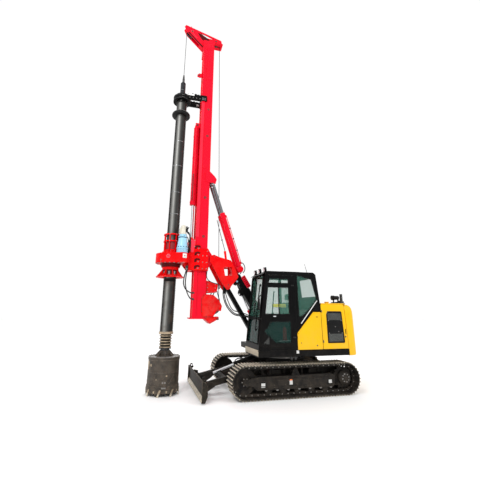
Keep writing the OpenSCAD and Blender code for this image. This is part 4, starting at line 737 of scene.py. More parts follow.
def make_tracks():
    me, mats = shoe_mesh()
    rnd = random.Random(5)
    for name, s in (("left", 1), ("right", -1)):
        p = Part("track_chain_" + name)
        for m in mats:
            p.mi(m)
        for i in range(SHOES):
            b = bmesh.new()
            b.from_mesh(me)
            b.transform(Matrix.Translation((0, s * 0.925, 0)) @ loop_matrix(i * LOOP / SHOES + 20))
            t = bpy.data.meshes.new("t")
            b.to_mesh(t)
            b.free()
            p.bm.from_mesh(t)
            bpy.data.meshes.remove(t)
        p.done("undercarriage", "track_" + name, angle=30)
        # wheels: bolts, covers, hubs
        q = Part("wheel_details_" + name)
        d = (0, s, 0)
        q.ring_bolts((-1143, s * 1020, 340), d, 130, 14, 9, "bolt")
        q.ring_bolts((-1143, s * 1075, 340), d, 82, 8, 8, "bolt", 0.2)
        q.lathe((-1143, s * 1074.5, 340), d, [(0, 62), (6, 62), (9, 56), (9, 24), (14, 20), (14, 0)], "under", 36)
        q.cyl((-1143 + 58 * 0.7, s * 1075, 340 + 78), d, 12, 13, "bolt", 6)
        q.ring_bolts((1248, s * 1017, 340), d, 70, 6, 8, "bolt")
        q.lathe((1248, s * 1016.5, 340), d, [(0, 50), (8, 50), (12, 44), (12, 0)], "under", 32)
        for k in range(8):
            a = math.radians(22.5 + 45 * k)
            q.bolt((1248 + 175 * math.cos(a), s * 985, 340 + 175 * math.sin(a)), d, 8, "under", washer=False)
        # track frame: step slot, cover, lugs and blank labels
        y = s * 1033
        q.prism("y", y, y + s * 5, [(968, 325), (1305 - 120, 325), (1305 - 120, 372), (1240 - 120, 412), (968, 412)], "under", 2)
        q.box(700, 900, y, y + s * 7, 338, 352, "under", 2)
        q.box(700, 900, y, y + s * 7, 240, 252, "under", 2)
        for x0, x1, z0, z1, m in ((806, 896, 226, 308, "sticker"), (166, 238, 258, 336, "sticker"), (172, 232, 337, 362, "orange"), (-800, -722, 246, 316, "sticker")):
            q.box(x0, x1, y, y + s * 1.6, z0, z1, m, 0.5, 1)
        for x in (-520, -250, 60, 330, 600):
            q.bolt((x, s * 1033, 262), d, 9, "under")
        q.weld([(-900, s * 1034, 405), (900, s * 1034, 405)], 4, "under")
        q.weld([(-880, s * 1034, 215), (980, s * 1034, 215)], 4, "under")
        # carrier roller bracket
        q.prism("y", s * 1000, s * 1012, [(-45, 395), (209, 395), (150, 470), (110, 560), (30, 560), (-10, 470)], "under", 3)
        q.lathe((70, s * 1006, 530), d, [(0, 44), (10, 44), (14, 38), (14, 0)], "under", 28)
        q.ring_bolts((70, s * 1012, 530), d, 26, 4, 5, "bolt")
        # bottom roller hubs
        for x in (-780, -520, -260, 0, 260, 520, 780):
            q.lathe((x, s * 1007, 178), d, [(0, 34), (7, 34), (10, 28), (10, 0)], "steel", 24)
        # rock guards beside the rollers, motor cover and its hoses on the inner side
        yi = s * 800
        q.prism("y", yi - 5, yi + 5, [(-1130, 62), (1230, 62), (1330, 84), (1400, 150), (1400, 330), (-1300, 330), (-1300, 150), (-1230, 84)], "under", 3)
        q.prism("y", s * 706 - 4, s * 706 + 4, [(-1290, 250), (-1240, 210), (-760, 210), (-560, 330), (-560, 560), (-700, 580), (-1180, 560), (-1290, 440)], "under", 4)
        q.lathe((-1143, s * 700, 340), (0, s, 0), [(0, 90), (6, 120), (100, 124), (112, 124)], "under", 36)
        for k in range(3):
            q.tube([(-1000, s * 690, 380 + 50 * k), (-900, s * 640, 460 + 40 * k), (-760, s * 560, 560 + 20 * k), (-600, s * 420, 600)], 14, "rubber", 10, 6)
        q.prism("y", s * 835, s * 850, [(-900, 560), (-780, 568), (900, 568), (980, 520), (980, 500), (880, 545), (-770, 545), (-890, 535)], "under", 2)
        for x in (-600, -180, 250, 520, 780):
            q.box(x, x + 40, s * 836, s * 846, 400, 560, "under", 3)
        q.done("undercarriage")


make_tracks()


# ---------------------------------------------------------------- blade
def make_blade():
    p = Part("blade_details")
    # cutting edge bolted on the front face, worn patch, end plate caps
    p.prism("y", -1119, 1119, [(2189.5, 20), (2151.5, 110), (2155, 112), (2189.9, 30)], "shoe_edge", 0.5, 1)
    for i in range(11):
        y = -1000 + i * 200
        p.bolt((2167, y, 74), (0.92, 0, 0.39), 11, "bolt", washer=False)
    for y in (-700, -235, 235, 700):
        p.prism("y", y - 8, y + 8, [(2138, 60), (2106, 60), (2096, 215), (2110, 330), (2120, 330), (2112, 215)], "under", 2)
    for s in (-1, 1):
        # end plate: a worn tan patch and its edge
        y0, y1 = (1120 - 3, 1119.9) if s > 0 else (-1119.9, -1117)
        p.prism("y", y0, y1, [(2168, 60), (2184, 110), (2184, 330), (2170, 385), (2150, 300), (2140, 160)], "tan", 1, 1)
        p.weld([(2120, s * 1103, 60), (2090, s * 1103, 130), (2080, s * 1103, 290), (2120, s * 1103, 395)], 4, "blade")
        # box behind the mouldboard on the visible side
        p.prism("y", s * 700, s * 712, [(1985, 262), (2112, 262), (2112, 330), (2085, 352), (1985, 330)], "under", 2)
    p.tube([(2172, -1100, 401), (2172, 1100, 401)], 9, "blade", 8, smooth=False)
    p.done("blade")
    q = Part("blade_arm_details")
    for s in (-1, 1):
        q.lathe((720, s * 559.5 if s > 0 else -559.5, 500), (0, s, 0), [(0, 48), (6, 48), (9, 40), (9, 0)], "under", 30)
        q.ring_bolts((720, s * 568, 500), (0, s, 0), 28, 3, 6, "bolt")
        q.weld([(1560 + 57, s * 481, 322), (1560 + 40, s * 481, 362), (1560, s * 481, 378), (1560 - 40, s * 481, 362)], 4, "under")

    # hose from the cylinder along the arm
    q.done("blade")
    c = Part("blade_cylinder_hoses")
    d = Vector((1180, 0, -380)).normalized()
    n = Vector((380, 0, 1180)).normalized()
    o = Vector((620, 0, 740))
    for y, t in ((-22, 140), (22, 600)):
        a = o + d * t + n * 54 + Vector((0, y, 0))
        c.box(a.x - 16, a.x + 16, y - 14, y + 14, a.z - 14, a.z + 12, "dark_steel", 2)
        c.tube([a, a + n * 26 - d * 20, a + n * 34 - d * 70, o + d * 60 + n * 82 + Vector((0, y * 1.6, 0)), o + d * 10 + n * 70 + Vector((0, y * 2, 0))], 10, "rubber", 10, 6)
    c.lathe(o + d * 628, d, [(0, 50), (0, 59), (14, 59), (16, 50)], "black", 32)
    c.done("blade_barrel")


# ---------------------------------------------------------------- house
def make_counterweight():
    p = Part("counterweight_shell")
    bm = bmesh.new()
    rows = []
    levels = [(811, 30), (818, 10), (835, 0), (1000, 0), (1200, 0), (1500, 0), (1700, 0), (1790, 4), (1850, 18), (1895, 42), (1925, 76), (1938, 112), (1941, 150)]
    n_side, n_arc, n_back = 3, 8, 24
    for z, inset in levels:
        r = 1830.0 - inset
        h = 1131.0 - inset * 0.6
        rho = 175.0
        yc = h - rho
        xc = -math.sqrt((r - rho) ** 2 - yc * yc)
        a1 = math.atan2(yc, xc)
        xf = -1270.5 if z < 960 else -1269.5 + (z - 961) / 984.0 * 38
        line = [(xf + (xc - xf) * i / n_side, h) for i in range(n_side)]
        line += [(xc + rho * math.cos(math.pi / 2 + (a1 - math.pi / 2) * i / n_arc), yc + rho * math.sin(math.pi / 2 + (a1 - math.pi / 2) * i / n_arc)) for i in range(n_arc)]
        line += [(r * math.cos(a1 + (math.pi - a1) * i / n_back), r * math.sin(a1 + (math.pi - a1) * i / n_back)) for i in range(n_back + 1)]
        half = line
        other = [(x, -y) for x, y in reversed(half[:-1])]
        loop = half + other
        rows.append([bm.verts.new(W(x, y, z)) for x, y in loop])
    for a, b in zip(rows, rows[1:]):
        n = len(a)
        for i in range(n - 1):
            bm.faces.new((a[i], a[i + 1], b[i + 1], b[i]))
        bm.faces.new((a[n - 1], a[0], b[0], b[n - 1]))
    bm.faces.new(rows[0])
    bm.faces.new(rows[-1])
    p.take(bm, "yellow", 0)
    # rear lamps, two round rubber caps on top, and air slots at the back
    # the air slots are near-black strips laid on the shell: painted shade
    for i in range(14):
        z = 1240 + i * 34
        p.prism("z", z, z + 14, [(1829.5 * math.cos(a), 1829.5 * math.sin(a)) for a in [math.radians(180 - 14 + 28 * k / 12) for k in range(13)]] + [(1822 * math.cos(a), 1822 * math.sin(a)) for a in [math.radians(180 + 14 - 28 * k / 12) for k in range(13)]], "hole_painted_shade", 0)
    for s in (-1, 1):
        a = math.radians(180 - s * 31)
        c = (1830 * math.cos(a), 1830 * math.sin(a))
        dr = (math.cos(a), math.sin(a), 0)
        p.lathe((c[0] - dr[0] * 6, c[1] - dr[1] * 6, 1330), dr, [(0, 44), (5, 44), (5.8, 40), (5.8, 0)], "seal", 28)
        p.lathe((c[0] - dr[0] * 6, c[1] - dr[1] * 6, 1330), dr, [(0, 34), (6.5, 34), (6.6, 20), (6.6, 0)], "reflector", 28)
        p.lathe((c[0] * 0.86, c[1] * 0.86, 1940), (0, 0, 1), [(0, 40), (5, 40), (8, 30), (8, 0)], "seal", 24)
    p.done("house", "counterweight")


def make_hood():
    p = Part("engine_hood_cover")
    bm = bmesh.new()
    rows = []
    for z, inset in ((1948, 0), (1957, 0), (1964, 5), (1969, 14), (1971, 28)):
        r = 1680.0 - inset
        h = 1121.0 - inset
        rho = 130.0
        yc = h - rho
        xc = -math.sqrt((r - rho) ** 2 - yc * yc)
        a1 = math.atan2(yc, xc)
        half = [(-621.0 - inset * 0.5, h)]
        half += [(xc + rho * math.cos(math.pi / 2 + (a1 - math.pi / 2) * i / 8), yc + rho * math.sin(math.pi / 2 + (a1 - math.pi / 2) * i / 8)) for i in range(8)]
        half += [(r * math.cos(a1 + (math.pi - a1) * i / 20), r * math.sin(a1 + (math.pi - a1) * i / 20)) for i in range(21)]
        loop = half + [(x, -y) for x, y in reversed(half[:-1])]
        rows.append([bm.verts.new(W(x, y, z)) for x, y in loop])
    for a, b in zip(rows, rows[1:]):
        n = len(a)
        for i in range(n):
            bm.faces.new((a[i], a[(i + 1) % n], b[(i + 1) % n], b[i]))
    bm.faces.new(rows[0])
    bm.faces.new(rows[-1])
    p.take(bm, "yellow", 0)
    # filler cap on its neck, hinges, non-slip pads, lifting eyes
    p.lathe((-960, 800, 1970), (0, 0, 1), [(0, 60), (8, 58), (10, 46), (18, 44), (20, 55), (38, 55), (42, 50), (43, 0)], "yellow", 40)
    for k in range(8):
        a = math.radians(45 * k)
        p.box(-960 + 55 * math.cos(a) - 6, -960 + 55 * math.cos(a) + 6, 800 + 55 * math.sin(a) - 6, 800 + 55 * math.sin(a) + 6, 1992, 2008, "yellow", 2)
    for y in (-360, 360):
        p.lathe((-598, y - 60, 1963), (0, 1, 0), [(0, 11), (120, 11)], "dark_steel", 20)
        p.box(-680, -600, y - 55, y + 55, 1970, 1974, "yellow", 1)
        for x in (-665, -630):
            for d in (-35, 35):
                p.bolt((x, y + d, 1974), (0, 0, 1), 6, "bolt")
    for x0, x1, y0, y1 in ((-1240, -760, -900, -560), (-1240, -760, -480, -140), (-1100, -700, 60, 420)):
        p.box(x0, x1, y0, y1, 1970.5, 1973, "plastic", 1)
        nx, ny = int((x1 - x0) / 40), int((y1 - y0) / 40)
        for i in range(nx):
            for j in range(ny):
                cx, cy = x0 + (i + 0.5) * (x1 - x0) / nx, y0 + (j + 0.5) * (y1 - y0) / ny
                p.lathe((cx, cy, 1972.5), (0, 0, 1), [(0, 11), (2.4, 9), (2.4, 6)], "plastic", 8)
    p.tube([(-1300, -700, 1970), (-1300, -700, 2000), (-1300, -500, 2000), (-1300, -500, 1970)], 8, "black", 10, 1, smooth=False)
    p.done("hood", "engine_hood")
    q = Part("exhaust_stack")
    q.lathe((-1490, 640, 1970), (0, 0, 1), [(0, 90), (10, 90), (12, 84), (14, 66), (60, 60), (66, 40), (72, 36), (150, 36), (152, 39), (160, 39), (162, 36), (243, 36), (243, 31), (110, 31), (110, 0)], "dark_steel", 40)
    q.ring_bolts((-1490, 640, 1982), (0, 0, 1), 78, 6, 6, "bolt")
    q.tube([(-1490, 640 + 37, 2120), (-1470, 640 + 44, 2120), (-1462, 640 + 52, 2112)], 5, "bolt", 8)
    q.done("hood", "exhaust_pipe")
    a = Part("intake_precleaner")
    a.box(-1420, -1200, 560, 720, 1970, 1992, "plastic", 5)
    a.box(-1410, -1330, 590, 690, 1990, 2018, "plastic", 7)
    a.box(-1290, -1215, 590, 690, 1990, 2010, "plastic", 7)
    for x in (-1262, -1390):
        a.lathe((x, 640, 1985), (0, 0, 1), [(0, 26), (18, 26), (20, 19), (70, 17), (74, 22), (84, 22), (100, 17)], "plastic", 24)
    a.lathe((-1206, 640, 2116), (-1, 0, 0), [(0, 40), (4, 56), (30, 57.5), (34, 52), (40, 52), (44, 57.5), (74, 57.5), (80, 48), (112, 46), (114, 49), (126, 49), (128, 46), (190, 46), (204, 40), (212, 20), (212, 0)], "plastic", 40)
    for k in range(18):
        t = math.radians(20 * k)
        a.box(-1285 + 0, -1212, 640 + 57 * math.cos(t) - 1.6, 640 + 57 * math.cos(t) + 1.6, 2116 + 57 * math.sin(t) - 1.6, 2116 + 57 * math.sin(t) + 1.6, "plastic", 0)
    for k in range(10):
        a.box(-1405 + k * 20, -1401 + k * 20, 640 - 20, 640 + 20, 2160, 2166, "plastic", 1)
    a.tube([(-1400, 600, 2010), (-1430, 620, 2035), (-1452, 650, 2032), (-1470, 650, 2005)], 13, "plastic", 12)
    a.done("hood", "air_precleaner")


def make_engine_door():
    """yellow door with a black louvre panel let into it"""
    p = Part("engine_door_panel")
    outer = [(-601, 961), (-601, 1918), (-606, 1936), (-620, 1945), (-1188, 1945), (-1208, 1938), (-1222, 1915), (-1262, 961)]
    hole = [(-722, 1082), (-726, 1722), (-762, 1790), (-1126, 1790), (-1148, 1766), (-1180, 1106), (-1158, 1082)]
    p.prism("y", 1105, 1131, outer, "yellow", 5, 3, holes=[hole])
    # rolled lip round the opening
    p.prism("y", 1118, 1133.5, grow(hole, 6), "yellow", 3, 2, holes=[grow(hole, -2)])
    # the black panel, its frame, chamfered corner strip and two meshes
    p.prism("y", 1108, 1122, grow(hole, 3), "plastic", 2)
    p.prism("y", 1120, 1130, grow(hole, -3), "plastic", 3, 2, holes=[grow(hole, -26)])
    for z0, z1 in ((1590, 1745), (1118, 1290)):
        for i in range(int((z1 - z0) / 14)):
            z = z0 + i * 14
            p.box(-1140, -764, 1121, 1128, z, z + 7, "mesh_grey", 1, 1)
        for i in range(28):
            x = -1140 + i * 13.4
            p.box(x, x + 4, 1121, 1125.5, z0, z1, "mesh_grey", 0.8, 1)
    for i in range(9):
        z = 1304 + i * 31
        p.prism("x", -1140, -760, [(1119, z), (1128, z + 4), (1130, z + 8), (1122, z + 20), (1119, z + 20)], "plastic", 1, 1)
    for x, z in ((-780, 1300), (-1120, 1300), (-780, 1580), (-1120, 1580), (-950, 1440), (-1030, 1330)):
        p.bolt((x, 1128, z), (0, 1, 0), 7, "bolt")
    p.prism("y", 1127, 1132, [(-728, 1716), (-762, 1782), (-800, 1782), (-800, 1774), (-768, 1774), (-736, 1712)], "mesh_grey", 1, 1)
    # hinges, lock and handle
    for z in (1100, 1760):
        p.lathe((-607, 1137, z), (0, 0, 1), [(0, 10), (50, 10)], "dark_steel", 20)
        p.box(-640, -607, 1131, 1135, z + 2, z + 48, "yellow", 1)
        for d in (12, 38):
            p.bolt((-628, 1134, z + d), (0, 1, 0), 4.5, "bolt")
    p.lathe((-1200, 1130, 1220), (0, 1, 0), [(0, 20), (3, 20), (5, 16), (5, 0)], "dark_steel", 24)
    p.box(-1222, -1206, 1131, 1141, 1270, 1390, "seal", 4)
    p.done("side_door", "engine_door")
    # blank sticker is left out; seals round the door on the house
    q = Part("house_trim")
    q.prism("y", 1096, 1104, [(-598, 958), (-598, 1948), (-1226, 1948), (-1268, 958)], "seal", 1, 1, holes=[[(-630, 990), (-630, 1920), (-1200, 1920), (-1236, 990)]])
    q.box(-597, -594, 1100, 1128, 960, 1945, "seal", 0.5, 1)
    # deck side: step plate joints, reflector, bolts, lower skirts
    q.box(22, 83, 1131, 1135, 885, 948, "white", 3)
    q.box(28, 77, 1134, 1136, 891, 942, "sticker", 2)
    q.box(-1268, 998, 1131, 1134, 821, 838, "black", 1.2, 1)
    q.box(-1268, 998, 1131, 1133.5, 944, 955, "black", 1.2, 1)
    for x in (-1180, -900, -620, -340, -60, 300, 620, 940):
        q.bolt((x, 1133, 870), (0, 1, 0), 8, "black")
    q.box(-1266, -1262, 1128, 1132, 822, 954, "seal", 0.5, 1)
    for x0, x1 in ((18, 90), (110, 190)):
        q.prism("y", 985, 1015, [(x0, 790), (x0 + 8, 820), (x1 - 8, 820), (x1, 790), (x1 - 20, 738), (x0 + 20, 738)], "dark_steel", 3)
    # the sill under the cab's front
    q.prism("y", 1131, 1135, [(992, 842), (1000, 842), (994, 940), (986, 940)], "sill", 1, 1)
    q.done("house")


def make_side_panel():
    p = Part("cab_side_panel")
    o = [(38, 959), (38, 1300), (30, 1316), (-385, 1760), (-400, 1766), (-580, 1766), (-591, 1758), (-591, 959)]
    p.prism("y", 1101, 1131, o, "yellow", 6, 3)
    # pressed edge along the slope, slot, keyhole, bolt, handle recess
    p.prism("y", 1130, 1133.5, [(20, 1290), (-388, 1740), (-400, 1745), (-560, 1745), (-560, 1737), (-404, 1737), (-392, 1730), (10, 1286)], "yellow", 1.2, 1)
    p.box(-512, -452, 1130.4, 1133, 1650, 1664, "seal", 2)
    p.lathe((-446, 1130, 1041), (0, 1, 0), [(0, 17), (3, 17), (4.5, 13), (4.5, 0)], "dark_steel", 24)
    p.box(-449, -443, 1133, 1135.4, 1032, 1050, "seal", 0.5, 1)
    p.bolt((-49, 1131, 1101), (0, 1, 0), 7, "dark_steel")
    for x, z in ((10, 985), (-560, 985), (-560, 1700)):
        p.bolt((x, 1131, z), (0, 1, 0), 6, "yellow")
    p.box(-591, -555, 170, 1102, 959, 1766, "yellow", 3)
    p.done("house", "side_panel")


make_blade()
make_counterweight()
make_hood()
make_engine_door()
make_side_panel()


# ---------------------------------------------------------------- cab
def front_at(z):
    """x of the cab's front face at height z"""
    k = (1000 - 812) / (2622 - 957.0)
    return 1000 - k * (z - 957)


def make_cab():
    p = Part("cab_trim")
    # rubber seals of the fixed windows
    rear = [(-14, 2618), (-405, 2518), (-530, 2004), (-105, 1660), (-22, 1660)]
    p.prism("y", 1108, 1134, grow(rear, 9), "seal", 3, 2, holes=[grow(rear, -7)])
    right_front = [(60, 1500), (810, 1500), (702, 2572), (60, 2572)]
    right_rear = [(0, 1700), (0, 2572), (-400, 2572), (-500, 1990), (-150, 1700)]
    for o in (right_front, right_rear):
        p.prism("y", 167, 192, grow(o, 9), "seal", 3, 2, holes=[grow(o, -7)])
    # front: seals, centre bar, cross bar, wiper, lower ribs
    for z0, z1 in ((1641, 2576), (1091, 1599)):
        for y0, y1 in ((240, 262), (1039, 1061)):
            p.prism("y", y0, y1, [(front_at(z0) - 30, z0 - 8), (front_at(z0) + 5, z0 - 8), (front_at(z1) + 5, z1 + 8), (front_at(z1) - 30, z1 + 8)], "seal", 3)
        for z in (z0 - 8, z1 - 6):
            p.prism("y", 240, 1061, [(front_at(z) - 28, z), (front_at(z) + 5, z), (front_at(z + 14) + 5, z + 14), (front_at(z + 14) - 28, z + 14)], "seal", 3)
    p.prism("y", 640, 662, [(front_at(1650) - 8, 1650), (front_at(1650) + 8, 1650), (front_at(2570) + 8, 2570), (front_at(2570) - 8, 2570)], "cab_black", 3)
    p.tube([(front_at(2560) + 12, 560, 2560), (front_at(2200) + 14, 500, 2200), (front_at(1900) + 14, 430, 1880)], 7, "seal", 8)
    p.tube([(front_at(2250) + 14, 420, 2250), (front_at(1750) + 12, 420, 1750)], 6, "seal", 8, smooth=False)
    p.tube([(front_at(2330) + 10, 1010, 2330), (front_at(2330) + 42, 1010, 2310), (front_at(1400) + 48, 1010, 1440), (front_at(1400) + 10, 1010, 1410)], 13, "black", 12, 10)
    # beige sill and the step under the windscreen
    p.prism("y", 200, 1128, [(994, 850), (1000, 850), (999, 940), (994, 968), (984, 968)], "sill", 2)
    for i in range(12):
        p.box(984, 1000.5, 250 + i * 72, 262 + i * 72, 860, 935, "sill", 1)
    # door surround, pillar lines and drip rail on the side
    p.prism("y", 1130, 1134, [(-40, 2660), (700, 2664), (706, 2646), (-40, 2640)], "cab_black", 1.4, 1)
    p.prism("y", 1131, 1137, [(-408, 2640), (650, 2676), (650, 2668), (-405, 2630)], "seal", 1.5, 1)
    d = [(54, 994), (944, 994), (840, 1782), (713, 2596), (54, 2596)]
    p.prism("y", 1112, 1133, grow(d, 7), "seal", 2, 1, holes=[grow(d, -1)])
    # white slanted edge trim behind the door
    p.prism("y", 1131, 1140, [(-516, 2022), (-498, 2026), (-60, 1520), (-72, 1506)], "white", 3)
    p.prism("y", 1131, 1136, [(-486, 2030), (-474, 2034), (-30, 1524), (-42, 1512)], "seal", 1.5, 1)
    # roof: pan, ribs, hatch, two bumps, beacon stub, aerial
    p.prism("z", 2680, 2688, [(-300, 215), (-330, 240), (-330, 1060), (-300, 1085), (640, 1085), (672, 1060), (672, 240), (640, 215)], "cab_black", 4)
    p.prism("z", 2686, 2704, [(-180, 320), (-200, 340), (-200, 960), (-180, 980), (300, 980), (320, 960), (320, 340), (300, 320)], "cab_black", 7, 3)
    for i in range(5):
        p.box(-160, 280, 380 + i * 120, 410 + i * 120, 2700, 2709, "cab_black", 4)
    p.lathe((430, 640, 2686), (0, 0, 1), [(0, 66), (20, 66), (34, 60), (48, 40), (52, 0)], "plastic", 32)
    p.lathe((545, 640, 2686), (0, 0, 1), [(0, 50), (24, 50), (40, 42), (47, 20), (48, 0)], "plastic", 32)
    p.lathe((-433, 900, 2640), (0.26, 0, 0.96), [(0, 16), (40, 14), (60, 6), (285, 3.2), (290, 0)], "seal", 10)
    # lamps on the roof's front edge, on brackets, and the visor between
    for x, y in ((730, 300), (730, 640), (730, 1000)):
        p.box(x - 20, x + 28, y - 12, y + 12, 2670, 2690, "cab_black", 3)
        p.lathe((x - 22, y, 2722), (1, 0, -0.08), [(0, 24), (8, 46), (14, 54), (58, 56), (66, 57), (68, 50)], "plastic", 32)
        p.lathe((x + 38, y, 2717), (1, 0, -0.08), [(0, 49), (6, 49), (9, 40), (10, 0)], "lamp", 32)
        for k in range(5):
            p.box(x - 18, x + 20, y - 40 + k * 18, y - 36 + k * 18, 2772, 2779, "plastic", 1)
    p.prism("y", 250, 1060, [(740, 2672), (860, 2606), (864, 2596), (852, 2598), (730, 2660)], "cab_black", 3)
    # mirror on its arm at the left front corner
    p.tube([(880, 1128, 2120), (905, 1138, 2126), (940, 1140, 2100), (950, 1140, 2040)], 9, "seal", 10)
    p.box(934, 950, 1050, 1146, 1800, 2050, "seal", 10, 3)
    p.box(931, 935, 1060, 1136, 1815, 2035, "lamp", 3)
    # bolts on the rear pillar and vents below the rear window
    for x, z in ((-60, 1560), (-60, 1420), (20, 1300)):
        p.bolt((x, 1131, z), (0, 1, 0), 5, "cab_black")
    for i in range(6):
        p.box(-540 + i * 4, -420, 1131, 1133.5, 1800 + i * 26, 1812 + i * 26, "seal", 1, 1)
    p.done("house")

    q = Part("cab_door_trim")
    main = [(212, 1716), (811, 1716), (730, 2314), (212, 2314)]
    top = [(210, 2407), (716, 2407), (684, 2514), (210, 2514)]
    low = [(186, 1100), (564, 1100), (830, 1330), (830, 1400), (773, 1405), (690, 1560), (186, 1560)]
    for o in (main, top, low):
        q.prism("y", 1108, 1135, grow(o, 8), "seal", 3, 2, holes=[grow(o, -8)])
    q.box(456, 474, 1108, 1128, 1716, 2314, "seal", 3)
    q.box(212, 440, 1117, 1122, 1716, 2314, "glass", 0)
    # pressed panel edge, handle in its cup, vent, hinge leaves, kick plate, rail
    edge = [(84, 1024), (916, 1024), (818, 1776), (694, 2564), (84, 2564)]
    q.prism("y", 1130, 1133.5, edge, "cab_black", 1.4, 1, holes=[grow(edge, -9)])
    cup = [(540, 1640), (632, 1640), (640, 1650), (632, 1692), (540, 1692), (532, 1680), (532, 1652)]
    q.prism("y", 1129, 1134, cup, "seal", 2)
    # pale handle in lens material: a painted highlight
    q.prism("y", 1133, 1146, [(550, 1668), (556, 1678), (616, 1678), (623, 1670), (616, 1662), (556, 1660)], "lamp", 3)
    q.prism("y", 1130, 1136, [(884, 1106), (712, 1066), (700, 1262), (716, 1266)], "seal", 2, holes=[[(856, 1112), (728, 1082), (720, 1232), (724, 1236)]])
    for i in range(7):
        z = 1092 + i * 20
        x1 = 850 - max(0, (z - 1110)) * 1.02
        if x1 - 726 > 12:
            q.box(724, x1, 1130, 1134, z, z + 9, "mesh_grey", 1, 1)
    for z in (1190, 2330):
        q.lathe((52, 1137, z), (0, 0, 1), [(0, 8), (3, 12), (57, 12), (60, 8)], "cab_black", 24)
        q.lathe((52, 1137, z - 6), (0, 0, 1), [(0, 4), (4, 7), (6, 5)], "bolt", 16)
        q.prism("y", 1131, 1141, [(60, z + 2), (150, z + 10), (158, z + 20), (158, z + 40), (150, z + 50), (60, z + 58)], "cab_black", 3)
        for x in (92, 132):
            q.bolt((x, 1141, z + 30), (0, 1, 0), 7, "dark_steel")
    q.tube([(640, 1086, 1420), (640, 1060, 1440), (600, 1056, 1800), (560, 1060, 2180), (560, 1090, 2200)], 12, "seal", 12, 8)
    q.box(100, 900, 1131, 1133, 1030, 1046, "cab_black", 1, 1)
    q.done("door")

    s = Part("cab_interior_fittings")
    # floor mat, instrument column, levers, screen, yellow pouch shelf, red extinguisher, rear shelf
    s.box(80, 960, 240, 1060, 1006, 1012, "plastic", 3)
    s.box(620, 930, 560, 900, 1013, 1018, "seal", 3)
    s.prism("y", 300, 420, [(760, 1012), (900, 1012), (880, 1500), (820, 1640), (770, 1620), (790, 1480)], "interior", 8, 3)
    s.prism("y", 320, 400, [(764, 1640), (790, 1580), (800, 1586), (776, 1800), (766, 1796)], "plastic", 4)
    s.box(759, 764, 328, 392, 1650, 1780, "lamp", 2)
    s.box(-440, 20, 240, 1060, 1012, 1560, "interior", 12, 3)
    s.box(-440, -60, 260, 1040, 1560, 1640, "plastic", 14, 3)
    s.prism("y", 960, 1070, [(262, 1868), (575, 1868), (575, 1938), (262, 1944)], "pouch", 10, 3)
    s.box(165, 472, 1056, 1068, 1132, 1152, "white", 3)
    s.lathe((300, 1010, 1130), (0, 0, 1), [(0, 40), (6, 46), (260, 46), (290, 30), (300, 16), (320, 16)], "reflector", 28)
    s.box(292, 350, 1002, 1018, 1446, 1462, "seal", 3)
    s.box(180, 560, 1040, 1070, 1060, 1075, "white", 3)
    for y in (560, 690):
        s.box(790, 850, y - 10, y + 60, 1106, 1116, "plastic", 3)
        s.tube([(820, y + 25, 1110), (812, y + 25, 1300), (790, y + 25, 1480)], 9, "dark_steel", 10)
        s.lathe((790, y + 25, 1470), (-0.1, 0, 1), [(0, 12), (8, 20), (60, 22), (80, 14), (84, 0)], "plastic", 20)
    s.tube([(-200, 1040, 2560), (200, 1046, 2580), (560, 1040, 2560)], 9, "seal", 8)
    s.done("house")
    make_seat()


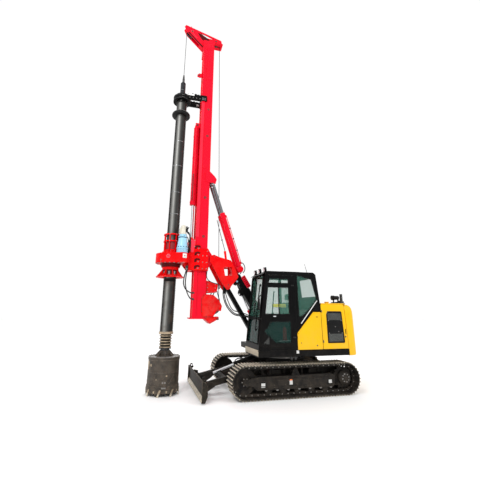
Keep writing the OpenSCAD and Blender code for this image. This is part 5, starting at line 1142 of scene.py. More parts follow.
def make_seat():
    """suspension base, consoles and three crowned cushions"""
    b = Part("seat_frame")
    b.box(150, 530, 470, 830, 1012, 1060, "plastic", 10, 3)
    for i in range(7):
        z = 1062 + i * 26
        b.box(170 + (i % 2) * 8, 510 - (i % 2) * 8, 490 + (i % 2) * 8, 810 - (i % 2) * 8, z, z + 25, "seal", 9, 2)
    b.box(140, 550, 450, 850, 1244, 1288, "plastic", 10, 3)
    for y in (290, 905):
        b.prism("y", y, y + 100, [(200, 1356), (640, 1360), (640, 1520), (600, 1556), (230, 1556), (200, 1530)], "interior", 14, 3)
        b.prism("y", y + 12, y + 88, [(206, 1550), (430, 1556), (440, 1580), (420, 1592), (220, 1588), (204, 1574)], "seat", 14, 3)
        b.prism("y", y + 22, y + 78, [(212, 1012), (290, 1012), (290, 1360), (212, 1360)], "interior", 8, 2)
        b.lathe((560, y + 50, 1552), (0, 0, 1), [(0, 34), (10, 36), (22, 28), (36, 30), (50, 20), (60, 11), (120, 11), (126, 22), (170, 25), (200, 20), (208, 8), (208, 0)], "plastic", 24)
        for k in range(3):
            b.lathe((470 + k * 36, y + 30, 1554), (0, 0, 1), [(0, 10), (8, 10), (10, 7), (10, 0)], "lamp" if k == 1 else "plastic", 14)
    b.tube([(50, 560, 1460), (0, 560, 1700), (20, 560, 1990)], 11, "plastic", 8)
    for y in (610, 690):
        b.tube([(44, y, 1980), (50, y, 2060)], 7, "chrome", 10, smooth=False)
    for x, z in ((60, 1430),):
        b.lathe((x, 440, z), (0, 1, 0), [(0, 40), (20, 40), (24, 30), (436, 30)], "plastic", 20)
    b.done("house", "operator_seat")

    def cushion(name, outline, y0, y1, crown, seams):
        p = Part(name)
        bm = bmesh.new()
        a = [bm.verts.new(W(x, y0, z)) for x, z in outline]
        c = [bm.verts.new(W(x, y1, z)) for x, z in outline]
        bm.faces.new(a)
        bm.faces.new(c)
        for i in range(len(outline)):
            j = (i + 1) % len(outline)
            bm.faces.new((a[i], a[j], c[j], c[i]))
        bmesh.ops.recalc_face_normals(bm, faces=bm.faces[:])
        me = bpy.data.meshes.new(name)
        bm.to_mesh(me)
        bm.free()
        p.bm.free()
        ob = bpy.data.objects.new(name, me)
        bpy.context.scene.collection.objects.link(ob)
        m = ob.modifiers.new("voxels", "REMESH")
        m.mode = "VOXEL"
        m.voxel_size = 0.009
        dg = bpy.context.evaluated_depsgraph_get()
        me2 = bpy.data.meshes.new_from_object(ob.evaluated_get(dg))
        ob.modifiers.clear()
        ob.data = me2
        rest = [v.co.copy() for v in me2.vertices]
        cl = ob.modifiers.new("cloth", "CLOTH")
        cl.settings.use_pressure = True
        cl.settings.uniform_pressure_force = 4
        cl.settings.effector_weights.gravity = 0
        cl.settings.quality = 5
        cl.point_cache.frame_start = 1
        cl.point_cache.frame_end = 20
        for f in range(1, 21):
            bpy.context.scene.frame_set(f)
        dg = bpy.context.evaluated_depsgraph_get()
        me3 = bpy.data.meshes.new_from_object(ob.evaluated_get(dg))
        cap = crown / 1000.0
        for v, r in zip(me3.vertices, rest):
            d = v.co - r
            if d.length > cap:
                v.co = r + d * (cap / d.length)
        ob.modifiers.clear()
        ob.data = me3
        bpy.context.scene.frame_set(1)
        # smoothing, then sewn channels pressed in
        bm = bmesh.new()
        bm.from_mesh(ob.data)
        for _ in range(4):
            bmesh.ops.smooth_vert(bm, verts=bm.verts[:], factor=0.5, use_axis_x=True, use_axis_y=True, use_axis_z=True)
        bm.normal_update()
        for v in bm.verts:
            for axis, at in seams:
                k = {"x": (v.co.x * 1000 + XM), "y": v.co.y * 1000, "z": v.co.z * 1000}[axis]
                d = abs(k - at)
                if d < 16:
                    v.co -= v.normal * 0.007 * (1 - (d / 16)) ** 2
        bm.to_mesh(ob.data)
        bm.free()
        for f in ob.data.polygons:
            f.use_smooth = True
        ob.data.materials.clear()
        ob.data.materials.append(MAT["seat"])
        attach(ob, "house")
        return ob

    cushion("seat_cushion", [(126, 1302), (622, 1302), (630, 1392), (590, 1412), (240, 1400), (126, 1388)], 440, 860, 12, (("y", 520), ("y", 780), ("x", 380)))
    cushion("seat_back", [(124, 1420), (216, 1420), (100, 1990), (26, 1990), (34, 1800)], 450, 850, 12, (("y", 530), ("y", 770), ("z", 1640), ("z", 1820)))
    cushion("seat_headrest", [(30, 2046), (80, 2046), (62, 2186), (12, 2186)], 560, 740, 8, (("z", 2116),))


make_cab()


# ---------------------------------------------------------------- mast
def make_mast():
    p = Part("mast_details")
    for s in (-1, 1):
        y = s * 180
        # longitudinal weld seams, flange splice plates, drain holes
        p.weld([(2016, s * 181, 1640), (2016, s * 181, 9540)], 3.0, "red")
        p.weld([(2236, s * 181, 1640), (2236, s * 181, 9540)], 3.0, "red")
        for z in (2650, 5560, 8560):
            p.box(2020, 2232, y, y + s * 7, z, z + 90, "red", 3)
            for x in (2050, 2100, 2150, 2200):
                p.bolt((x, y + s * 7, z + 45), (0, s, 0), 9, "red")
        # drain holes drawn as dark red dished discs: painted shade in the holes
        for z in (3620, 4700, 6600, 7500):
            p.lathe((2126, y - s * 1, z), (0, s, 0), [(0, 40), (3.4, 40), (4.4, 34), (1.2, 28), (1.2, 0)], "red_painted_shade", 28)
        # luffing bracket: boss, pin retainer, rib
        p.lathe((1926, s * 199, 5200), (0, s, 0), [(0, 70), (5, 70), (6.5, 64), (6.5, 38)], "red", 36)
        p.box(1898, 1954, s * 200, s * 205.6, 5128, 5150, "dark_steel", 2)
        for x in (1910, 1942):
            p.bolt((x, s * 204, 5139), (0, s, 0), 5, "bolt", h=1.8, washer=False)
        p.weld([(2144, s * 200, 5462), (2134, s * 200, 5177)], 3.5, "red")
        # foot
        p.prism("y", s * 196 - (4 if s > 0 else -4), s * 196 + s * 1, [(2012, 1590), (2390, 1590), (2390, 1609), (2012, 1609)], "red", 1, 1)
        # pivot lug ring
        p.lathe((1834, s * 179, 3042), (0, s, 0), [(0, 84), (4, 84), (6, 78), (6, 48)], "red", 36)
        # rungs for service access on the far side
        if s < 0:
            for i in range(18):
                z = 4600 + i * 260
                p.tube([(2046, y + 2, z), (2046, y - 38, z), (2166, y - 38, z), (2166, y + 2, z)], 8, "red", 8, 1, smooth=False)
    # rail wear strips on the front faces, and on each side face a pinker strip: a painted highlight
    for s in (-1, 1):
        p.box(2333, 2337.2, s * 112, s * 194, 1640, 9540, "red_low", 0.8, 1)
        p.box(2250, 2330, s * 195.6 - (1 if s > 0 else -1), s * 196.8, 3600, 7700, "red_painted_sheen", 0.4, 1)
    # head block: access plate and bolts
    for s in (-1, 1):
        p.box(2060, 2300, s * 180, s * 184, 9720, 9960, "red", 2)
        for x, z in ((2080, 9740), (2280, 9740), (2080, 9940), (2280, 9940)):
            p.bolt((x, s * 184, z), (0, s, 0), 8, "red")
        p.prism("y", s * 86, s * 92, [(2680, 10370), (2790, 10370), (2820, 10425), (2790, 10480), (2680, 10480), (2650, 10425)], "red", 3)
        for k in range(4):
            a = math.radians(45 + 90 * k)
            p.bolt((2735 + 38 * math.cos(a), s * 92, 10425 + 38 * math.sin(a)), (0, s, 0), 6, "bolt")
        p.lathe((2735, s * 92, 10425), (0, s, 0), [(0, 24), (6, 24), (8, 18), (8, 0)], "dark_steel", 24)
        p.lathe((1940, s * 92, 10215), (0, s, 0), [(0, 24), (6, 24), (8, 18), (8, 0)], "dark_steel", 24)
        p.weld([(2948, s * 87, 10630), (1780, s * 87, 10284)], 3, "red")
        p.weld([(2361, s * 87, 9830), (2361, s * 87, 10080)], 4, "red")
    p.weld([(1722, -150, 10104), (2350, -150, 10104)], 3, "red")
    # folded inner faces of the jib's side plates, in shade
    for s in (-1, 1):
        a, b = (86, 87.6) if s > 0 else (-87.6, -86)
        p.prism("y", a, b, [(2877, 10356), (2840, 10392), (2371, 9914), (2380, 9849)], "red_shadow", 0)
        p.prism("y", a, b, [(2560, 10425), (2421, 10383), (2216, 10262), (2060, 10093), (2300, 10093), (2400, 10165), (2482, 10272)], "red_shadow", 0)
        # pinker band along the jib plate: a painted highlight
        p.prism("y", a, b, [(2800, 10420), (2750, 10418), (2545, 10205), (2582, 10180)], "red_painted_sheen", 0)
    # rope guards over the two sheaves, and a tie across the jib
    p.tube([(2770, -88, 10618), (2770, 88, 10618)], 9, "red", 10, smooth=False)
    p.tube([(2560, -88, 10492), (2560, 88, 10492)], 9, "red", 10, smooth=False)
    p.tube([(1800, -88, 10262), (1800, 88, 10262)], 9, "red", 10, smooth=False)
    p.box(2361, 2480, -70, 70, 9850, 9862, "red", 2, rot=ry(-42), about=(2361, 0, 9856))
    # small lug and sensor at the height of the kelly head
    p.prism("y", 64, 92, [(2299, 8690), (2430, 8673), (2497, 8700), (2497, 8760), (2440, 8822), (2299, 8810)], "red", 3)
    p.lathe((2450, 91, 8742), (0, 1, 0), [(0, 26), (10, 26), (12, 20), (12, 0)], "dark_steel", 24)
    # crowd cylinder: top eye, gland rings, clamps and its pipes
    p.lathe((2420, 0, 4506), (0, 0, 1), [(0, 70), (4, 88), (26, 90), (30, 84), (44, 84), (48, 92), (104, 92), (110, 86), (124, 86)], "red", 40)
    for k in range(10):
        a = math.radians(36 * k)
        p.bolt((2420 + 91 * math.cos(a), 91 * math.sin(a), 4578), (math.cos(a), math.sin(a), 0), 7, "red", washer=False)
    for z in (5100, 5900, 6600):
        p.lathe((2420, 0, z), (0, 0, 1), [(0, 83), (2, 87), (38, 87), (40, 83)], "red", 40)
    p.tube([(2420, 70, 4600), (2420, 92, 4640), (2426, 100, 4720), (2426, 100, 6700), (2420, 92, 6790), (2420, 70, 6830)], 9, "red", 10, 6)
    p.tube([(2452, 66, 4600), (2462, 84, 4640), (2468, 90, 4720), (2468, 90, 5400)], 9, "dark_steel", 10, 6)
    for y in (-90, 90):
        p.lathe((2416, y - (0 if y > 0 else 5), 6970), (0, 1, 0), [(0, 30), (5, 30)], "dark_steel", 28)
    # service hose run up the back of the mast, with clips
    for k, y in enumerate((-78, -52, -26)):
        p.tube([(1996, y, 3420), (1996, y, 4980 - 160 * k)], 11, "rubber", 10, smooth=False)
    for i in range(7):
        z = 3480 + i * 230
        p.box(1982, 2011, -94, -10, z, z + 26, "dark_steel", 3)
    p.done("mast")

    # rope over the sheaves: from the rear run to the front one
    r = Part("rope_over_sheaves")
    fr, rr = 169.0, 129.5
    pts = [(1940 - rr, 0, 10215)]
    for i in range(1, 9):
        a = math.radians(180 - 9.0 * i)
        pts.append((1940 + rr * math.cos(a), 0, 10215 + rr * math.sin(a)))
    a0 = math.radians(104)
    pts += [(1940 + rr * math.cos(a0), 0, 10215 + rr * math.sin(a0))]
    for i in range(0, 13):
        a = math.radians(104 - 8.0 * i)
        pts.append((2735 + fr * math.cos(a), 0, 10425 + fr * math.sin(a)))
    pts.append((2904.5, 0, 10405))
    r.tube(pts, 7, "rope", 10, smooth=False)
    r.done("mast")


def make_winch():
    p = Part("winch_details")
    c = Vector((1815, 0, 1880))
    y = 195.0
    # outline flange, bolts, bearing cap on the cab side
    rim = [(2121, 1723), (2121, 2096), (2036, 2169), (1821, 2149), (1678, 2032), (1599, 1890), (1622, 1772), (1723, 1772), (1818, 1636), (1867, 1618), (2064, 1618)]
    for s in (-1, 1):
        p.prism("y", s * 194, s * 200, rim, "red_low", 1.5, 1, holes=[grow(rim, -16)])
    p.lathe((1815, 194, 1880), (0, 1, 0), [(0, 132), (8, 132), (10.6, 126), (10.6, 60), (10.9, 52), (10.9, 0)], "red_low", 48)
    p.ring_bolts((1815, 203.6, 1880), (0, 1, 0), 112, 10, 5, "red_low", 0.1, 1.6)
    # bolts and thin lines along the plate's edge in dark red: painted shade, the lines a painted shadow of the gap
    # between plate and mast
    for x, z in ((2090, 1760), (2090, 2070), (1990, 2140), (1720, 2030), (1650, 1900), (1990, 1650), (2090, 1915), (1850, 2120), (1690, 1800), (1900, 1650)):
        p.bolt((x, 200, z), (0, 1, 0), 8, "red_painted_shade", 4.5, washer=False)
    p.tube([(2112, 201, 1740), (2112, 201, 2088), (2032, 201, 2158)], 4, "red_painted_shade", 8, smooth=False)
    p.tube([(1640, 201, 1790), (1720, 201, 1790), (1806, 201, 1660), (1870, 201, 1636), (2056, 201, 1636)], 4, "red_painted_shade", 8, smooth=False)
    # gearbox and motor on the far side
    p.lathe((1815, -196, 1880), (0, -1, 0), [(0, 156), (10, 156), (14, 150), (30, 150), (34, 154), (44, 154), (48, 148), (68, 140), (70.5, 92)], "red_low", 48)
    for k in range(12):
        a = math.radians(30 * k)
        p.bolt((1815 + 143 * math.cos(a), -240, 1880 + 143 * math.sin(a)), (0, -1, 0), 6, "bolt")
    p.lathe((1815, -264, 1880), (0, -1, 0), [(0, 92), (10, 92), (12, 88), (60, 86), (90, 84), (95.9, 70), (95.9, 0)], "dark_steel", 40)
    for dz in (-34, 34):
        p.box(1780, 1850, -340, -290, 1880 + 78, 1880 + 104, "dark_steel", 4)
        p.hose([(1815 + dz, -315, 1980), (1815 + dz, -318, 2060), (1760 + dz, -300, 2180), (1720 + dz, -260, 2330), (1716 + dz, -200, 2450)], 13)
    # plates under the drum and the guard above it
    p.weld([(1722, 197, 1630), (1888, 197, 1480), (1996, 197, 1562)], 4, "red_low")
    p.lathe((1700, 196, 1586), (0, 1, 0), [(0, 26), (8, 26), (8.9, 20), (8.9, 0)], "red_painted_shade", 24)
    for z in (2236, 2330, 2420):
        p.bolt((1960, 112, z), (0, 1, 0), 7, "bolt")
        p.bolt((1760, 112, z - 8), (0, 1, 0), 7, "bolt")
    p.prism("y", 98, 113, [(1706, 2300), (1730, 2216), (1985, 2198), (1985, 2224), (1748, 2240), (1728, 2304)], "red_low", 2)
    p.prism("y", 100, 118, [(1690, 2290), (1640, 2310), (1628, 2360), (1650, 2410), (1694, 2420)], "dark_steel", 5)
    p.lathe((1652, 118, 2360), (0, 1, 0), [(0, 30), (8, 30), (12, 22), (12, 0)], "steel", 24)
    p.tube([(1992, 150, 2492), (1830, 150, 2450)], 6, "red_low", 8, smooth=False)
    p.done("mast")

    d = Part("winch_drum_wound")
    pitch, n = 14.3, 20
    pts = []
    for i in range(int(n * 20) + 1):
        a = 2 * math.pi * i / 20
        yy = -n * pitch / 2 + pitch * i / 20
        pts.append((1815 + 175.2 * math.cos(a), yy, 1880 + 175.2 * math.sin(a)))
    d.lathe((1815, -190, 1880), (0, 1, 0), [(0, 38), (0, 40), (24, 40), (24, 184), (26, 188), (38, 188), (40, 184), (40, 168), (340, 168), (340, 184), (342, 188), (354, 188), (356, 184), (356, 40), (380, 40), (380, 38)], "dark_steel", 72)
    d.tube(pts, 7.2, "rope", 8, smooth=False)
    for s in (-1, 1):
        # dark red bolt heads on the drum ends: painted shade
        for k in range(8):
            a = math.radians(45 * k)
            d.lathe((1815 + 110 * math.cos(a), s * 166.5 - s * 1, 1880 + 110 * math.sin(a)), (0, s, 0), [(0, 22), (2.4, 20), (2.4, 0)], "red_painted_shade", 20)
    d.done("drum", "winch_drum")


def make_sheaves():
    for name, body, x, z, r in (("front_sheave", "sheave_front", 2735, 10425, 180), ("rear_sheave", "sheave_rear", 1940, 10215, 140)):
        p = Part(name + "_wheel")
        p.lathe((x, -30, z), (0, 1, 0), [(0, 23), (0, 46), (2, 48), (18, 48), (18, r - 46), (14, r - 38), (6, r - 30), (6, r - 2), (8, r), (12, r - 2), (22, r - 17), (30, r - 19.5), (38, r - 17), (48, r - 2), (52, r), (54, r - 2), (54, r - 30), (46, r - 38), (42, r - 46), (42, 48), (58, 48), (60, 46), (60, 23)], "dark_steel", 64)
        # lightening holes drawn as near-black dished discs: painted shade
        for k in range(6):
            a = math.radians(60 * k)
            cx, cz = x + (r * 0.5) * math.cos(a), z + (r * 0.5) * math.sin(a)
            for s in (-1, 1):
                p.lathe((cx, s * 11.5, cz), (0, s, 0), [(0, 17), (2, 17), (2.4, 14), (0.8, 12), (0.8, 0)], "hole_painted_shade", 20)
        p.done(body, name)


# ---------------------------------------------------------------- boom
BOOM_FOOT, BOOM_HEAD = (320, 1280), (1160, 2620)
BOOM_CYL_FOOT, BOOM_CYL_HEAD = (430, 1000), (1062, 2212)


def along(a, b):
    d = Vector((b[0] - a[0], 0, b[1] - a[1]))
    return d.length, d.normalized(), Vector((-(b[1] - a[1]), 0, b[0] - a[0])).normalized()


def make_boom():
    br = Part("bracket_details")
    for s in (-1, 1):
        o = [(1957, 3111), (1839, 3150), (1706, 3098), (1519, 3055), (1385, 3022), (1316, 2909), (1248, 2758), (1180, 2607), (1233, 2530), (1454, 2277), (1494, 2288), (1626, 2444), (1885, 2898), (1941, 2957)]
        br.prism("y", s * 223, s * 228, grow(o, -3), "red_low", 1.5, 1, holes=[grow(o, -17)])
        br.prism("y", s * 224, s * 230, grow([(1579, 2842), (1366, 2850), (1359, 2634), (1538, 2629)], 16), "red_low", 2, 1, holes=[[(1579, 2842), (1366, 2850), (1359, 2634), (1538, 2629)]])
        for x, z, r in ((1834, 3042, 45), (1450, 2360, 32)):
            br.lathe((x, s * 225, z), (0, s, 0), [(0, r + 34), (7, r + 34), (10, r + 28), (10, r + 2)], "red_low", 40)
            br.lathe((x, s * 238, z), (0, s, 0), [(0, r - 2), (1.9, r - 8), (1.9, 0)], "steel", 32)
            br.box(x - 12, x + 12, s * 234, s * 239.6, z + r - 4, z + r + 26, "dark_steel", 2)
        for x, z in ((1300, 2560), (1700, 2860), (1780, 2990), (1610, 2990)):
            br.bolt((x, s * 225, z), (0, s, 0), 8, "red_low")
    # ribbed inset below the arms and the fitting block for the hoses
    br.prism("y", 56, 110, [(1109, 2411), (1272, 2411), (1272, 2540), (1240, 2568), (1130, 2568), (1109, 2540)], "black", 5, 3)
    for k in range(3):
        br.lathe((1135 + k * 50, 108, 2430), (0, 0.6, -1), [(-8, 20), (16, 20), (18, 16), (30, 16)], "dark_steel", 16)
    br.lathe((1190, 110, 2500), (0, 1, 0), [(0, 26), (10, 26), (14, 20), (14, 0)], "blue", 24)
    br.done("bracket")

    q = Part("boom_details")
    l, d, n = along(BOOM_FOOT, BOOM_HEAD)
    f = Vector((BOOM_FOOT[0], 0, BOOM_FOOT[1]))
    # cover plates with welds, pads and hose clamps on the upper face
    for s in (-1, 1):
        a, b = f + d * 190 + n * 88 + Vector((0, s * 99, 0)), f + d * (l - 280) + n * 88 + Vector((0, s * 99, 0))
        q.weld([a, b], 3.5, "black")
        a, b = f + d * 190 - n * 88 + Vector((0, s * 99, 0)), f + d * (l - 280) - n * 88 + Vector((0, s * 99, 0))
        q.weld([a, b], 3.5, "black")
        q.lathe(f + Vector((0, s * 104, 0)), (0, s, 0), [(0, 58), (1.6, 58), (2, 50), (2, 42)], "black", 32)
        q.lathe((BOOM_HEAD[0], s * 97.5, BOOM_HEAD[1]), (0, s, 0), [(0, 60), (5, 60), (6.4, 54), (6.4, 37)], "black", 32)
    for t in (0.25, 0.5, 0.72):
        c = f + d * (l * t) + n * 104
        q.prism("y", -70, 70, [(c.x + d.x * u + n.x * v, c.z + d.z * u + n.z * v) for u, v in ((-20, -6), (20, -6), (20, 22), (-20, 22))], "dark_steel", 4)
    # two pipes lying on the boom
    for y in (-44, -16, 16, 44):
        q.tube([f + d * 120 + n * 112 + Vector((0, y, 0)), f + d * (l - 180) + n * 112 + Vector((0, y, 0))], 10, "rubber", 10, smooth=False)
    q.done("boom")

    # boom cylinder: clamps round the barrel and a pipe along it
    w = Part("boom_cylinder_details")
    l, d, n = along(BOOM_CYL_FOOT, BOOM_CYL_HEAD)
    f = Vector((BOOM_CYL_FOOT[0], 0, BOOM_CYL_FOOT[1]))
    w.lathe(f + d * 868, d, [(0, 40), (0, 47), (30, 47), (32, 40), (32, 23)], "red", 32)
    w.lathe(f + d * 420, d, [(0, 44.5), (2, 47), (26, 47), (28, 44.5)], "red_low", 32)
    w.tube([f + d * 120 + n * 52, f + d * 200 + n * 58, f + d * 780 + n * 58, f + d * 850 + n * 48], 8, "red_low", 10, 6)
    w.done("boom_barrel")


def make_luffing():
    p = Part("luffing_barrel_details")
    foot, head = (1122, 2815), (1926, 5200)
    l, d, n = along(foot, head)
    for y in (-138, 138):
        f = Vector((foot[0], y, foot[1]))
        p.lathe(f + d * 1488, d, [(0, 63), (2, 70), (20, 70), (24, 66), (60, 66), (64, 70), (84, 70), (88, 62), (88, 43)], "red", 40)
        for k in range(8):
            a = math.radians(45 * k)
            _, u, v = frame_of(d)
            p.bolt(f + d * 1576 + (u * math.cos(a) + v * math.sin(a)) * 55, d, 5, "bolt", washer=False)
        for t in (360, 420, 1180):
            p.lathe(f + d * t, d, [(0, 63.5), (2, 66.5), (26, 66.5), (28, 63.5)], "red", 40)
        # weld at the eye and the port blocks with their steel pipe
        p.lathe(f + d * 92, d, [(0, 55), (4, 60), (10, 60), (14, 63.5)], "red_low", 36)
        sy = 1 if y > 0 else -1
        a = f + d * 150 + n * 72
        b = f + d * 1468 + n * 72
        p.tube([a, a + n * 14 + d * 20, a + n * 16 + d * 80, b + n * 16 - d * 80, b + n * 14 - d * 20, b], 9, "red_low", 10, 6)
        for t in (500, 820, 1120):
            c = f + d * t + n * 78
            p.prism("y", y - 18, y + 18, [(c.x + d.x * u + n.x * v, c.z + d.z * u + n.z * v) for u, v in ((-12, -16), (12, -16), (12, 24), (-12, 24))], "dark_steel", 3)
        # hose from the lower port back to the eye
        p.hose([f + d * 160 + n * 84, f + d * 120 + n * 130, f + d * 30 + n * 150, f - d * 60 + n * 120, f - d * 110 + n * 60], 11)
        p.lathe((foot[0], y + (42 if y > 0 else -42), foot[1]), (0, sy, 0), [(0, 74), (5, 74), (7, 68), (7, 42)], "red", 36)
    # outer pipe along the near barrel, with its clamp
    g = [(1783, 208, 4085), (1709, 210, 3815), (1635, 210, 3550), (1549, 206, 3263)]
    p.tube(g, 8, "dark_steel", 10, 8)
    for i in (1, 2):
        x, y, z = g[i]
        p.box(x - 22, x + 22, 196, 216, z - 12, z + 12, "dark_steel", 3, rot=ry(18.5))
    p.prism("y", 198, 212, [(1489, 3028), (1540, 3028), (1581, 3240), (1560, 3267), (1520, 3260)], "red_low", 4)
    p.done("luff_barrels")
    r = Part("luffing_rod_details")
    for y in (-138, 138):
        sy = 1 if y > 0 else -1
        h = Vector((head[0], y, head[1]))
        _, d, n = along(foot, head)
        r.lathe(h - d * 96, d, [(0, 42.3), (4, 50), (26, 52), (40, 46)], "chrome", 32)
    r.done("luff_rods")


make_mast()
make_winch()
make_sheaves()
make_boom()
make_luffing()
# ---------------------------------------------------------------- rotary head, kelly, bucket and hoses
def kelly_mat(name, base, bright, rust, axis_x):
    """dark drawn steel with a painted highlight: a bright band down the tube at a fixed angle round it, repeated every
    third of a turn
    """
    m, nt, p = new_mat(name)
    tc = nt.nodes.new("ShaderNodeTexCoord")
    co = tc.outputs["Object"]
    s = nt.nodes.new("ShaderNodeSeparateXYZ")
    nt.links.new(co, s.inputs[0])
    ang = math_n(nt, "ARCTAN2", s.outputs[1], math_n(nt, "SUBTRACT", s.outputs[0], axis_x))
    turn = math_n(nt, "ADD", math_n(nt, "DIVIDE", ang, 2 * math.pi), 1.0 - 66.0 / 360.0)
    tri = math_n(nt, "PINGPONG", math_n(nt, "MULTIPLY", turn, 3.0), 0.5)
    mp = nt.nodes.new("ShaderNodeMapping")
    mp.inputs["Scale"].default_value = (30.0, 30.0, 0.9)
    nt.links.new(co, mp.inputs[0])
    line = noise(nt, mp.outputs[0], 2.2, 7.0, 0.7)
    band = ramp(nt, math_n(nt, "ADD", tri, math_n(nt, "MULTIPLY", math_n(nt, "SUBTRACT", line, 0.5), 0.16)), [(0.02, 1.0), (0.10, 0.55), (0.22, 0.12), (0.34, 0.0)])
    big = noise(nt, co, 5.0, 6.0, 0.65)
    col = mixc(nt, ramp(nt, line, [(0.42, 0.0), (0.66, 1.0)]), base, [c * 2.2 for c in base])
    col = mixc(nt, math_n(nt, "MULTIPLY", band, 0.9, True), col, bright)
    low = height_mask(nt, co, 1.2, 4.5)
    rk = math_n(nt, "MULTIPLY", ramp(nt, big, [(0.45, 0.0), (0.68, 1.0)]), math_n(nt, "ADD", math_n(nt, "MULTIPLY", low, 0.65), 0.12), True)
    col = mixc(nt, rk, col, rust)
    small = noise(nt, co, 46.0, 6.0, 0.65)
    chip = ramp(nt, noise(nt, co, 22.0, 8.0, 0.72), [(0.60, 0.0), (0.66, 1.0)])
    col = mixc(nt, math_n(nt, "MULTIPLY", chip, 0.5, True), col, [c * 3.2 for c in base])
    nt.links.new(col, p.inputs["Base Color"])
    nt.links.new(math_n(nt, "ADD", math_n(nt, "MULTIPLY", small, 0.25), 0.30), p.inputs["Roughness"])
    p.inputs["Metallic"].default_value = 0.25
    p.inputs["Specular IOR Level"].default_value = 0.30
    bump(nt, p, small, 0.2, 0.0015, 0.004)
    return m


MAT["kelly"] = kelly_mat("kelly_steel_drawn_painted_highlight", (0.0125, 0.0125, 0.0120), (0.30, 0.30, 0.285), (0.075, 0.056, 0.038), W(2905, 0, 0).x)
MAT["kelly_key"] = surface("kelly_key_steel", (0.0060, 0.0058, 0.0056), 0.45, metal=0.3, vary=0.4, fine=40, bump_s=0.4, scale=12, wear=0.9, wear_color=(0.16, 0.155, 0.145), spec=0.2)
# pinker red for faces that catch the light: a painted highlight
MAT["red_painted_highlight"] = surface("red_paint_painted_highlight", (0.86, 0.030, 0.060), 0.30, vary=0.05, coat=0.10, spec=0.15, fine=90, bump_s=0.04, streak=0.08, scale=1.5, chips=0.2, chip_color=(0.2, 0.01, 0.01))


